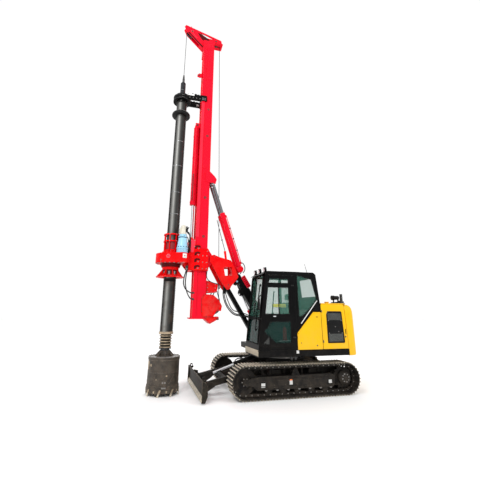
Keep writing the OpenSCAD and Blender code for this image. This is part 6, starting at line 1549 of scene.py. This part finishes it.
def make_head():
    p = Part("carriage_details")
    for s in (1, -1):
        def yp(a, b):
            return (min(s * a, s * b), max(s * a, s * b))
        # four hooked shoe guards over the rail shoes, dark in their own shade
        for i in range(4):
            z = 2775 + i * 168
            lo, hi = yp(239.5, 243)
            p.prism("y", lo, hi, [(2192, z + 62), (2232, z + 90), (2306, z + 88), (2346, z + 58), (2349, z - 8), (2300, z - 4), (2291, z + 34), (2262, z + 48), (2212, z + 38)], "red_shadow", 1)
            lo, hi = yp(239.5, 250)
            p.prism("y", lo, hi, [(2186, z + 66), (2228, z + 96), (2310, z + 96), (2356, z + 62), (2356, z + 96), (2316, z + 110), (2224, z + 110), (2180, z + 80)], "red_low", 3)
            p.bolt((2250, 243 * s, z + 12), (0, s, 0), 10)
        # raised front cover plate with its fixings, in pinker red as a painted highlight
        lo, hi = yp(239.5, 249)
        p.prism("y", lo, hi, [(2338, 3312), (2338, 3506), (2476, 3506), (2476, 3200), (2400, 3170), (2366, 3210), (2366, 3312)], "red_painted_highlight", 4)
        for x, z in ((2352, 3490), (2462, 3490), (2462, 3330), (2352, 3330), (2462, 3220)):
            p.bolt((x, 249 * s, z), (0, s, 0), 8)
        lo, hi = yp(239.5, 246)
        p.frame("y", lo, hi, [(2016, 2766), (2016, 3120), (2150, 3120), (2150, 2766)], 12, "red_low", 2)
        for x, z in ((2030, 2780), (2136, 2780), (2030, 3106), (2136, 3106), (2030, 2940), (2136, 2940)):
            p.bolt((x, 240 * s, z), (0, s, 0), 9)
        p.weld([(2000, 242 * s, 3270), (2190, 242 * s, 3276)], 4, "red_low")
        p.weld([(2000, 242 * s, 2744), (2470, 242 * s, 2744)], 4, "red_low")
        # rear roller boss
        p.lathe((2022, 230 * s, 3222), (0, s, 0), [(0, 30), (22, 30), (25, 27)], "red_low", 24)
        p.lathe((2022, 254 * s, 3222), (0, s, 0), [(0, 14), (8, 14), (10, 11)], "bolt", 6)
        for z in (2800, 2900, 3000, 3100, 3200, 3290):
            p.bolt((2487.5, 176 * s, z), (1, 0, 0), 9) if z < 2890 or z > 3140 else None
    # front plate: ribs above the gearbox
    for y in (-150, -50, 50, 150):
        p.prism("y", y - 6, y + 6, [(2487, 3131), (2560, 3131), (2487, 3330)], "red_low", 2)
    p.box(2487.5, 2497, -190, 190, 3340, 3500, "red_low", 3)
    for y in (-170, -60, 60, 170):
        p.bolt((2497, y, 3480), (1, 0, 0), 8)
        p.bolt((2497, y, 3360), (1, 0, 0), 8)
    # lifting eyes on top of the side plates
    for y in (-221, 221):
        p.prism("y", y - 9, y + 9, [(2400, 3519), (2400, 3552), (2416, 3570), (2444, 3570), (2460, 3552), (2460, 3519)], "red_low", 3, holes=[circle(2430, 3544, 11, 12)])
    # hose block and clamp under the rear of the gearbox
    p.box(2500, 2548, 150, 262, 2776, 2846, "dark_steel", 5)
    for y in (176, 206, 236):
        p.lathe((2524, y, 2777), (0, 0, -1), [(0, 17), (14, 17), (16, 15), (40, 15)], "steel", 12)
    p.done("head")

    p = Part("gearbox_details")
    C = (2905, 0)
    for i in range(24):
        a = math.radians(7.5 + 15 * i)
        x, y = 2905 + 352 * math.cos(a), 352 * math.sin(a)
        if x < 2700:
            continue
        p.bolt((x, y, 3130), (0, 0, 1), 11)
    for i in range(20):
        a = math.radians(9 + 18 * i)
        x, y = 2905 + 350 * math.cos(a), 350 * math.sin(a)
        if x < 2640:
            continue
        p.bolt((x, y, 2900), (0, 0, -1), 13, "steel", 18)
    # rim lips of the cast housing: switched off, nothing is drawn
    for z0, z1 in ((2900, 2916), (3112, 3130)):
        p.lathe((2905, 0, z0), (0, 0, 1), [(0, 380), (0, 387), (3, 390), (z1 - z0 - 3, 390), (z1 - z0, 387), (z1 - z0, 380)], "red_low", 64) if False else None
    # inspection cover, sight glass and drain plug on the free sides
    for a in (75, -75):
        c, s_ = math.cos(math.radians(a)), math.sin(math.radians(a))
        o = (2905 + 384 * c, 384 * s_, 3040)
        # covers in the pinker red: a painted highlight
        p.lathe(o, (c, s_, 0), [(0, 52), (7, 52), (9, 49)], "red_painted_highlight", 32)
        for k in range(6):
            b = math.radians(60 * k)
            p.bolt((o[0] - s_ * 40 * math.cos(b) + c * 8.5, o[1] + c * 40 * math.cos(b) + s_ * 8.5, o[2] + 40 * math.sin(b)), (c, s_, 0), 6)
        o = (2905 + 384 * math.cos(math.radians(a + (28 if a < 0 else -28))), 384 * math.sin(math.radians(a + (28 if a < 0 else -28))), 2950)
        p.lathe(o, (o[0] - 2905, o[1], 0), [(0, 20), (6, 20), (8, 18), (8, 13), (16, 13)], "bolt", 6)
    # blank label plate beside the motor
    d = Vector((110, 45, 0)).normalized()
    n = Vector((-d.y, d.x, 0))
    o = Vector((2560, 430, 0)) + d * 60
    for w, h, t, mt in ((54, 54, 3.2, "white"), (12, 16, 4.2, "red_painted_shade")):
        a = [o - d * w, o + d * w, o + d * w + n * t, o - d * w + n * t]
        p.prism("z", 3052 - h, 3052 + h, [(q.x, q.y) for q in a], mt, 1)
    # cage: joint bolts
    p.ring_bolts((2905, 0, 3190), (0, 0, 1), 221, 16, 10, "bolt", 0.2)
    p.ring_bolts((2905, 0, 3645), (0, 0, 1), 213, 12, 9, "bolt", 0.13)
    for i in range(8):
        a = math.radians(22.5 + 45 * i)
        c, s_ = math.cos(a), math.sin(a)
        p.bolt((2905 + 225 * c, 225 * s_, 3457), (c, s_, 0), 9)
        p.bolt((2905 + 225 * c, 225 * s_, 3630), (c, s_, 0), 9)
    # grease line from the block to the cage
    p.tube([(2530, 120, 3131), (2560, 110, 3180), (2620, 90, 3195), (2690, 60, 3200)], 6, "steel", 8)
    # dark red rings under the housing, round the hub and inside the cage: painted shade
    p.lathe((2905, 0, 2900), (0, 0, -1), [(0, 270), (10, 270), (12, 267), (12, 255)], "red_painted_shade", 64)
    p.lathe((2905, 0, 2803), (0, 0, 1), [(0, 216), (0, 227.5), (96, 254.2), (96, 216)], "red_shadow", 64)
    p.lathe((2905, 0, 3241), (0, 0, 1), [(0, 172), (0, 177), (186, 177), (186, 172)], "red_painted_shade", 48)
    p.done("head")

    p = Part("rotary_drive_motor")
    c = (2670, 285, 3130.5)
    up = (0, 0, 1)
    p.lathe(c, up, [(0, 145), (24, 145), (27, 142), (30, 136), (92, 136), (96, 141), (99, 145), (134, 145), (138, 141), (142, 136), (166, 135), (180, 131), (300, 116), (372, 106), (386, 104)], "blue", 56)
    for i in range(12):
        a = 2 * math.pi * (i + 0.3) / 12
        x, y = 2670 + 136.5 * math.cos(a), 285 + 136.5 * math.sin(a)
        p.lathe((x, y, 3230), (0, 0, -1), [(0, 8), (8, 8)], "seal", 6)
        p.lathe((2670 + 137 * math.cos(a), 285 + 137 * math.sin(a), 3272), up, [(0, 8), (3, 10), (20, 10), (22, 8)], "seal", 6)
        p.box(2670 + 136 * math.cos(a) - 4, 2670 + 136 * math.cos(a) + 4, 285 + 136 * math.sin(a) - 4, 285 + 136 * math.sin(a) + 4, 3160, 3226, "blue", 1, 1)
    p.lathe((2670, 285, 3516), up, [(0, 96), (2, 97), (18, 97), (20, 96)], "seal", 48)
    p.lathe((2670, 285, 3536), up, [(0, 96), (0, 110), (2, 113), (26, 113), (29, 109), (33, 97), (72, 92), (75, 88)], "blue", 48)
    p.ring_bolts((2670, 285, 3565), up, 102, 8, 8, "seal", 0.2)
    p.lathe((2670, 285, 3608), up, [(0, 92), (0, 95), (14, 95), (17, 92), (18, 78), (60, 75), (64, 71), (150, 70), (156, 75), (176, 75), (180, 71), (182, 60), (228, 56), (233, 50), (240, 44)], "cream", 44)
    p.ring_bolts((2670, 285, 3789), up, 65, 6, 7, "bolt", 0.3)
    # end cap with its adjuster, ports and valve blocks
    p.lathe((2670, 285, 3846), up, [(0, 20), (0, 22), (2, 22), (3.5, 18)], "steel", 16)
    p.box(2738, 2766, 242, 328, 3642, 3758, "cream", 6)
    for z in (3672, 3728):
        p.lathe((2765, 285, z), (1, 0, 0), [(0, 27), (2.5, 27)], "seal", 20)
        p.lathe((2762, 285, z), (1, 0, 0), [(0, 20), (5.5, 20), (6, 17)], "bolt", 12)
    for z in (3660, 3740):
        for y in (254, 316):
            p.bolt((2765, y, z), (1, 0, 0), 5, "bolt", 3, washer=False)
    p.done("head", "rotary_motor")

    # valve block with fittings and the hoses that run from it to the carriage
    p = Part("motor_hoses")
    p.box(2556, 2606, 236, 332, 3690, 3800, "plastic", 6)
    p.box(2600, 2618, 262, 306, 3716, 3774, "dark_steel", 3)
    p.lathe((2582, 284, 3798), (0, 0, 1), [(0, 20), (14, 20), (16, 14), (42, 14), (45, 9)], "bolt", 12)
    p.lathe((2560, 300, 3760), (-0.5, 0, 0.85), [(0, 16), (12, 16), (14, 12), (52, 12), (54, 9)], "plastic", 12)
    p.hose([(2584, 318, 3694), (2548, 330, 3640), (2506, 322, 3600), (2494, 290, 3520), (2496, 272, 3420), (2506, 262, 3290), (2516, 250, 3150)], 13, "plastic")
    p.hose([(2566, 262, 3692), (2520, 268, 3668), (2496, 262, 3600), (2476, 250, 3520), (2466, 262, 3380), (2474, 262, 3200)], 13, "plastic")
    p.hose([(2602, 244, 3694), (2588, 246, 3600), (2536, 226, 3540), (2506, 208, 3440)], 11, "plastic")
    p.done("head")

    p = Part("drive_sleeve_details")
    for i in range(8):
        for k in (-12, 12):
            a = math.radians(45 * i + 32.5 + k)
            p.bolt((2905 + 322 * math.cos(a), 322 * math.sin(a), 2577), (0, 0, 1), 9)
    p.ring_bolts((2905, 0, 2741), (0, 0, -1), 197.5, 16, 5, "bolt", 0.1)
    # dark lining inside the sleeve between the gussets: painted shade
    p.lathe((2905, 0, 2586), (0, 0, 1), [(0, 186), (0, 191), (150, 191), (150, 186)], "red_shadow", 56)
    p.lathe((2905, 0, 2610), (0, 0, 1), [(0, 190), (0, 196), (2, 198), (14, 198), (16, 196), (16, 190)], "red_low", 56)
    for i in range(8):
        a = math.radians(45 * i + 32.5)
        c, s_ = math.cos(a), math.sin(a)
        p.prism("z", 2600, 2700, [(2905 + 186 * c - 26 * s_, 186 * s_ + 26 * c), (2905 + 186 * c + 26 * s_, 186 * s_ - 26 * c), (2905 + 192 * c + 26 * s_, 192 * s_ - 26 * c), (2905 + 192 * c - 26 * s_, 192 * s_ + 26 * c)], "kelly_bright", 2)
    p.done("sleeve")


def make_kelly():
    # outer kelly with toothed driving keys, rings and its guide collar
    p = Part("kelly_outer_tube")
    C = (2905, 0)
    rnd = random.Random(5)
    prof = [(0, 77.5), (0, 146), (3, 149.5), (6680, 149.5), (6680, 77.5)]
    p.lathe((2905, 0, 1250), (0, 0, 1), prof, "kelly", 72)
    p.lathe((2905, 0, 7929), (0, 0, -1), [(0, 78), (6679, 78)], "kelly", 40)
    for k in range(3):
        a = math.radians(120 * k + 30)
        c, s_ = math.cos(a), math.sin(a)

        def q(r, t):
            return (2905 + r * c - t * s_, r * s_ + t * c)
        p.prism("z", 1310, 7050, [q(146, -21), q(157, -20), q(157, 20), q(146, 21)], "kelly_key", 1.5)
        for i in range(143):
            z = 1316 + i * 40
            p.prism("z", z, z + 22, [q(155, -17), q(165.5, -15), q(165.5, 15), q(155, 17)], "kelly_key", 0)
    # bottom collar, wear bands and the rope-side lug
    p.lathe((2905, 0, 1250), (0, 0, 1), [(0, 150), (0, 163), (2, 165), (48, 165), (50, 163), (54, 150)], "tan", 56)
    for z, h in ((2455, 78), (4180, 16), (4790, 16), (5570, 18), (6330, 18)):
        p.lathe((2905, 0, z), (0, 0, 1), [(0, 149.2), (1.2, 151.6), (h - 1.2, 151.6), (h, 149.2)], "seal" if h > 40 else "kelly_bright", 56)
    p.prism("y", -18, 18, [(2738 + 3, 1566), (2741, 1626), (2757, 1634), (2757, 1556)], "kelly_key", 2) if False else None
    a = math.radians(150)
    c, s_ = math.cos(a), math.sin(a)
    p.prism("z", 7060, 7120, [(2905 + 148 * c - 18 * s_, 148 * s_ + 18 * c), (2905 + 148 * c + 18 * s_, 148 * s_ - 18 * c), (2905 + 164 * c + 18 * s_, 164 * s_ - 18 * c), (2905 + 164 * c - 18 * s_, 164 * s_ + 18 * c)], "kelly_key", 2)
    # guide donut: rubber underside, conical steel top with eight bolts
    p.lathe((2905, 0, 7196), (0, 0, 1), [(4, 149), (4, 236), (10, 252), (26, 261), (48, 264), (70, 262), (88, 255), (98, 246)], "rubber", 64)
    p.lathe((2905, 0, 7290), (0, 0, 1), [(0, 149), (0, 250), (8, 247), (30, 220), (56, 196), (60, 190), (60, 149)], "steel", 64)
    for i in range(8):
        a = math.radians(22.5 + 45 * i)
        c, s_ = math.cos(a), math.sin(a)
        p.bolt((2905 + 172 * c, 172 * s_, 7350), (0, 0, 1), 9)
    for z in (7630, 7867):
        R, h = (168, 60) if z == 7630 else (195, 63)
        p.lathe((2905, 0, z), (0, 0, 1), [(0, 149), (0, R - 3), (3, R), (h - 3, R), (h, R - 3), (h, 78 if z > 7800 else 149)], "kelly_key", 56)
        for i in range(6):
            a = math.radians(60 * i + 15)
            p.bolt((2905 + R * math.cos(a), R * math.sin(a), z + h / 2), (math.cos(a), math.sin(a), 0), 7, "bolt", 3, washer=False) if R < 190 else None
    p.done("kelly", "kelly_outer")

    # core rod details
    p = Part("kelly_core_details")
    p.ring_bolts((2905, 0, 8390), (0, 0, 1), 66, 8, 6, "bolt", 0.2, 5)
    p.lathe((2905, 0, 8120), (0, 0, 1), [(0, 76.9), (1, 77.3), (17, 77.3), (18, 76.9)], "kelly_bright", 40)
    for s in (1, -1):
        p.lathe((2905, 70 * s, 845), (0, s, 0), [(0, 34), (6, 34), (8, 31)], "dark_steel", 24)
        p.lathe((2905, 108 * s, 845), (0, s, 0), [(-6, 26), (0, 27), (3, 24)], "bolt", 20)
    p.lathe((2905, 0, 904), (0, 0, 1), [(0, 84), (0, 100), (2, 102), (22, 102), (24, 100), (24, 84)], "dark_steel", 40)
    p.done("kelly_core")

    # swivel: body with a grease band, link and rope socket
    p = Part("rope_swivel_body")
    p.lathe((2905, 0, 8390), (0, 0, 1), [(0, 40), (0, 58), (3, 61), (14, 62), (26, 60), (32, 52), (40, 36), (60, 34), (128, 34), (131, 36), (150, 36), (153, 33), (190, 33), (200, 30), (206, 22), (232, 20)], "dark_steel", 40)
    p.lathe((2905, 0, 8470), (0, 0, 1), [(0, 34), (0, 36.5), (12, 36.5), (12, 34)], "kelly_bright", 32)
    p.prism("y", -13, 13, [(2883, 8600), (2878, 8634), (2890, 8668), (2905, 8676), (2920, 8668), (2932, 8634), (2927, 8600)], "seal", 3, holes=[circle(2905, 8645, 10, 12)])
    p.lathe((2905, -24, 8645), (0, 1, 0), [(0, 12), (4, 12), (4, 9), (44, 9), (44, 12), (48, 12)], "bolt", 12)
    for y in (-19, 19):
        p.prism("y", y - 4, y + 4, [(2890, 8632), (2889, 8660), (2897, 8700), (2913, 8700), (2921, 8660), (2920, 8632), (2905, 8624)], "dark_steel", 2)
    p.lathe((2905, 0, 8664), (0, 0, 1), [(0, 16), (6, 23), (34, 22), (46, 16), (51, 11)], "dark_steel", 24)
    p.done("kelly_core", "rope_swivel")

    # guide: pale strips, shoes, bolts and the ring's clamp halves
    p = Part("kelly_guide_details")
    for s in (1, -1):
        def yp(a, b):
            return (min(s * a, s * b), max(s * a, s * b))
        lo, hi = yp(205.5, 211)
        p.prism("y", lo, hi, [(2570, 7874), (2570, 7926), (2742, 7926), (2764, 7874)], "white", 2)
        lo, hi = yp(147, 152.5)
        p.prism("y", lo, hi, [(2352, 7766), (2352, 7846), (2450, 7846), (2450, 7766)], "steel", 2)
        lo, hi = yp(160, 206)
        p.box(2600, 2640, *yp(168, 200), 7934, 7962, "seal", 4)
        p.box(2500, 2556, *yp(166, 204), 7930, 7956, "seal", 4)
        p.box(2420, 2470, *yp(170, 202), 7930, 7948, "seal", 4)
        for x in (2372, 2480, 2680, 2725):
            p.bolt((x, 184 * s, 7930 if x < 2560 else 7934), (0, 0, 1), 8)
        for x in (2400, 2500, 2600, 2700):
            p.bolt((x, 210 * s, 7806), (0, s, 0), 9)
        p.box(2225, 2330, *yp(224.5, 230), 7762, 7850, "dark_steel", 2)
        for x, z in ((2240, 7778), (2315, 7778), (2240, 7834), (2315, 7834)):
            p.bolt((x, 230 * s, z), (0, s, 0), 7)
        p.weld([(2366, 150 * s, 7752), (2660, 150 * s, 7752)], 5, "black")
        # pads pressed on the rail faces
        p.box(2338, 2352, *yp(150, 196), 7770, 7850, "white", 2)
    p.box(2380, 2520, -210.5, -208, 7765, 7845, "steel", 1)
    for i in range(12):
        a = math.radians(15 + 30 * i)
        p.bolt((2905 + 238 * math.cos(a), 238 * math.sin(a), 7860), (0, 0, 1), 8)
    for s in (1, -1):
        p.box(2884, 2926, *((246, 262) if s > 0 else (-262, -246)), 7712, 7848, "black", 3)
        for z in (7742, 7818):
            p.lathe((2878, 256 * s, z), (1, 0, 0), [(0, 12), (6, 12), (6, 8), (48, 8), (48, 12), (54, 12)], "bolt", 6)
    for z in (7724, 7836):
        p.lathe((2905, 0, z - 5), (0, 0, 1), [(0, 254), (0, 257), (1, 258), (9, 258), (10, 257), (10, 254)], "dark_steel", 72)
    p.done("guide")


def make_bucket():
    p = Part("damper_spring_coils")
    for i in range(6):
        z = 946 + 61 * i
        p.lathe((2905, 0, z), (0, 0, 1), [(8, 104), (8, 128), (10, 137), (15, 143), (21, 145), (27, 143), (32, 137), (34, 128), (34, 104)], "tan", 56)
    p.lathe((2905, 0, 946), (0, 0, 1), [(0, 104), (0, 122), (349, 122), (349, 104)], "seal", 40)
    p.done("kelly_core", "damper_spring")

    p = Part("drilling_bucket_details")
    # weld seams, wear bands and hard-facing
    for z in (204, 470, 712):
        p.lathe((2905, 0, z), (0, 0, 1), [(-5, 351), (-2, 355), (2, 355), (5, 351)], "rust", 72)
    rnd = random.Random(11)
    for i in range(10):
        a0 = 36 * i + rnd.uniform(-4, 4)
        z0 = rnd.uniform(235, 270)
        pts = []
        for k in range(6):
            a = math.radians(a0 + 4 * k)
            pts.append((2905 + 353.5 * math.cos(a), 353.5 * math.sin(a), z0 + k * rnd.uniform(30, 38)))
        p.tube(pts, 4, "rust", 6, smooth=False, rad=lambda t, r=rnd.uniform(0, 9): 1 + 0.25 * math.sin(t * 60 + r))
    for i in range(20):
        a = math.radians(18 * i + 5)
        c, s_ = math.cos(a), math.sin(a)
        p.bolt((2905 + 345 * c, 345 * s_, 780), (0, 0, 1), 11, "rust") if i % 5 else None
    # the patch worn bright where the shell rubs in the bore
    for a0, a1, z0, z1 in ((2, 22, 575, 690), (4, 16, 520, 590), (30, 38, 590, 640), (96, 101, 395, 420), (60, 64, 330, 345)):
        m = [math.radians(a0 + (a1 - a0) * k / 6) for k in range(7)]
        out = [(2905 + 353.2 * math.cos(a), 353.2 * math.sin(a)) for a in m]
        inn = [(2905 + 350.5 * math.cos(a), 350.5 * math.sin(a)) for a in reversed(m)]
        p.prism("z", z0, z1, out + inn, "tan", 0)
    # bright steel ring round the lid's top edge: a painted highlight
    p.lathe((2905, 0, 774), (0, 0, 1), [(0, 360.5), (4, 361), (7, 358), (7, 322)], "steel", 72)
    # lid rim (switched off) and its split line
    p.lathe((2905, 0, 780), (0, 0, 1), [(0, 346), (3, 346), (5, 343), (5, 338), (0, 336)], "rust", 72) if False else None
    p.lathe((2905, 0, 716), (0, 0, 1), [(0, 359), (1.5, 361.5), (6.5, 361.5), (8, 359)], "rust", 72)
    for a in (0, 90, 180, 270):
        c, s_ = math.cos(math.radians(a)), math.sin(math.radians(a))
        p.weld([(2905 + 104 * c, 104 * s_, 786), (2905 + 330 * c, 330 * s_, 784)], 6, "rust")
    # latch and hinge of the gate
    p.prism("x", 2850, 2960, [(358, 150), (372, 156), (374, 300), (362, 320), (354, 320)], "rust", 3)
    p.lathe((2860, 372, 176), (1, 0, 0), [(0, 14), (2, 16), (88, 16), (90, 14)], "bolt", 16)
    p.lathe((2880, 366, 280), (0, 1, 0), [(0, 18), (10, 18), (12, 15)], "bolt", 6)
    p.lathe((2930, 366, 280), (0, 1, 0), [(0, 18), (10, 18), (12, 15)], "bolt", 6)
    for x in (2830, 2980):
        p.lathe((x - 8, -412, 125), (1, 0, 0), [(0, 22), (3, 24), (13, 24), (16, 22)], "dark_steel", 24)
    # kelly box: weld collar and pin keepers
    for z in (786, 884):
        p.box(2905 - 99, 2905 + 99, -99, 99, z - 4, z + 4, "rust", 3)
    for s in (1, -1):
        p.box(2880, 2930, *((95.5, 101) if s > 0 else (-101, -95.5)), 864, 884, "dark_steel", 2)
    p.done("kelly_core")

    p = Part("bucket_gate_details")
    for i in range(16):
        a = math.radians(22.5 * i + 11)
        c, s_ = math.cos(a), math.sin(a)
        if i % 2:
            # slanted pick with its pale carbide tip
            for r0, r1, za, zb, w, mt in ((356, 374, 140, 60, 20, "tan"), (357, 377, 62, 4, 18, "shoe_edge")):
                sh = (128 - (za + zb) / 2) * 0.42
                q = []
                for z_, off in ((za, (128 - za) * 0.42), (zb, (128 - zb) * 0.42)):
                    for r_, t_ in ((r0, -w), (r1, -w), (r1, w), (r0, w)):
                        q.append((2905 + r_ * c - (t_ - off) * s_, r_ * s_ + (t_ - off) * c, z_))
                p.hull(q, mt)
            continue
        p.prism("z", 74, 116, [(2905 + 358 * c - 16 * s_, 358 * s_ + 16 * c), (2905 + 358 * c + 16 * s_, 358 * s_ - 16 * c), (2905 + 364.5 * c + 15 * s_, 364.5 * s_ - 15 * c), (2905 + 364.5 * c - 15 * s_, 364.5 * s_ + 15 * c)], "tan", 2)
    p.lathe((2905, 0, 62), (0, 0, -1), [(0, 60), (3, 60), (5, 56)], "rust", 32)
    p.weld([(2905 + 200 * math.cos(math.radians(a)), 200 * math.sin(math.radians(a)), 60) for a in range(100, 260, 10)], 6, "rust")
    p.weld([(2905 + 300 * math.cos(math.radians(a)), 300 * math.sin(math.radians(a)), 60) for a in range(-80, 80, 10)], 6, "rust")
    p.done("gate")


def make_hoses():
    # carriage hoses from the head down to the mast
    for name, ys, pts in (
        ("head_hose_front_outer", 200, [(2511, 2740), (2566, 2589), (2581, 2419), (2524, 2278), (2400, 2196), (2330, 2190)]),
        ("head_hose_front_inner", 176, [(2473, 2740), (2527, 2566), (2530, 2397), (2483, 2208), (2403, 2068), (2330, 2040)]),
    ):
        p = Part(name)
        q = [(x, ys + 6 * math.sin(i), z) for i, (x, z) in enumerate(pts)]
        q = [(2524 if "outer" in name else 2505, 206 if "outer" in name else 176, 2748)] + q[1:-2] + [(q[-2][0], 184, q[-2][2]), (q[-1][0], 182, q[-1][2])]
        p.hose(q, 13, "dark_steel", "rubber", (True, True), 10)
        p.done(None, blend=("head", "mast", q[0], q[-1]))
    p = Part("head_hose_rear")
    q = [(1990, 218, 2800), (2009, 214, 2704), (2009, 206, 2580), (1950, 196, 2496), (1847, 186, 2448), (1718, 176, 2417)]
    p.hose(q, 10, "dark_steel", "rubber", (True, True), 10)
    p.done(None, blend=("head", "mast", q[0], q[-1]))
    p = Part("mast_hoses")
    p.hose([(1724, 150, 2250), (1690, 150, 2129), (1660, 150, 2040), (1655, 140, 1975)], 11)
    for z in (2190, 2040):
        p.box(2300, 2345, 160, 199, z - 22, z + 22, "dark_steel", 4)
    p.done("mast")


def make_boom_hoses():
    # two runs under the boom: bracket to boom, then boom to house
    runs = (
        (150, 12, [(1532, 2400), (1560, 2300), (1564, 2156), (1509, 1963), (1403, 1797), (1272, 1691), (1116, 1656)], [(980, 1640), (830, 1600), (690, 1520), (560, 1400)]),
        (120, 12, [(1506, 2400), (1526, 2300), (1525, 2157), (1470, 1964), (1364, 1809), (1247, 1715), (1116, 1686)], [(980, 1668), (830, 1626), (690, 1546), (560, 1430)]),
        (84, 11, [(1470, 2330), (1482, 2207), (1427, 2037), (1347, 1869), (1268, 1786), (1176, 1763)], [(1040, 1730), (880, 1676), (730, 1590), (600, 1470)]),
    )
    for i, (y, r, a, b) in enumerate(runs):
        p = Part("boom_hose_upper_%d" % (i + 1))
        q = [(x, y, z) for x, z in a]
        p.hose(q, r, "dark_steel", "rubber", (True, False), 8)
        p.done(None, blend=("bracket", "boom", q[0], q[-1]))
        p = Part("boom_hose_lower_%d" % (i + 1))
        q = [q[-1]] + [(x, y, z) for x, z in b]
        p.hose(q, r, "dark_steel", "rubber", (False, True), 8)
        p.done(None, blend=("boom", "house", q[0], q[-1]))
    # grey ribbed sleeve round the upper hoses, clamped to the bracket
    p = Part("bracket_hose_sleeve")
    c = spline([(1518, 135, 2430), (1534, 135, 2320), (1532, 135, 2190)], 14)
    for i in range(0, len(c) - 1, 2):
        d = (c[i + 1] - c[i]).normalized()
        p.lathe(c[i], d, [(0, 25), (0, 33), (3, 36), (8, 36), (11, 33), (11, 25)], "plastic", 20)
    p.tube(c, 31, "plastic", 16, smooth=False)
    p.box(1490, 1550, 96, 202, 2400, 2440, "dark_steel", 4)
    p.done("bracket")
    p = Part("boom_ribbed_cover")
    d, n = Vector((0.531, 0.847)), Vector((-0.847, 0.531))
    o = Vector((945, 2504))
    def at(u, v):
        w = o + d * u + n * v
        return (w.x, w.y)
    p.prism("y", 90, 112, [at(-165, -60), at(165, -60), at(165, 60), at(-165, 60)], "red", 6)
    # dark strips between the ribs: painted shadow
    for k in range(6):
        u = -125 + 50 * k
        p.prism("y", 110, 114, [at(u - 9, -52), at(u + 9, -52), at(u + 9, 52), at(u - 9, 52)], "red_shadow", 1)
    for u in (-155, 155):
        for v in (-50, 50):
            x, z = at(u, v)
            p.bolt((x, 112, z), (0, 1, 0), 7)
    p.done("boom")
    # hoist rope: an upper run hanging from the sheave to the kelly guide, and a short lower run at the kelly's top
    p = Part("hoist_rope_upper")
    p.tube([(2905, 0, 10420 - 85 * i) for i in range(21)], 7, "rope", 12, smooth=False)
    p.done(None, "hoist_rope", blend=("mast", "guide", (2905, 0, 10400), (2905, 0, 8740)))
    p = Part("hoist_rope_lower")
    p.tube([(2905, 0, 8735 - 2 * i) for i in range(21)], 6, "rope", 12, smooth=False)
    p.done(None, blend=("kelly", "kelly_core", (2905, 0, 8734), (2905, 0, 8696)))
    # dark door seams on the yellow side
    p = Part("side_seams")
    for a in ([(-626, 1765), (-618, 1369), (-611, 975)], [(-1246, 1968), (-1263, 1772), (-1284, 1364), (-1292, 975)]):
        for (x0, z0), (x1, z1) in zip(a, a[1:]):
            p.prism("y", 1098, 1103.5, [(x0 - 4.5, z0), (x0 + 4.5, z0), (x1 + 4.5, z1), (x1 - 4.5, z1)], "seal", 0)
    p.done("house")
    # middle of the luffing pin between the two eyes, and its collars
    p = Part("luffing_pin_collars")
    for y in (-102, 102, -174, 174):
        p.lathe((1926, y - 3, 5200), (0, 1, 0), [(0, 38), (0, 48), (1.5, 50), (4.5, 50), (6, 48), (6, 38)], "dark_steel", 32)
    p.done("luff_rods")


make_head()
make_kelly()
make_bucket()
make_hoses()
make_boom_hoses()
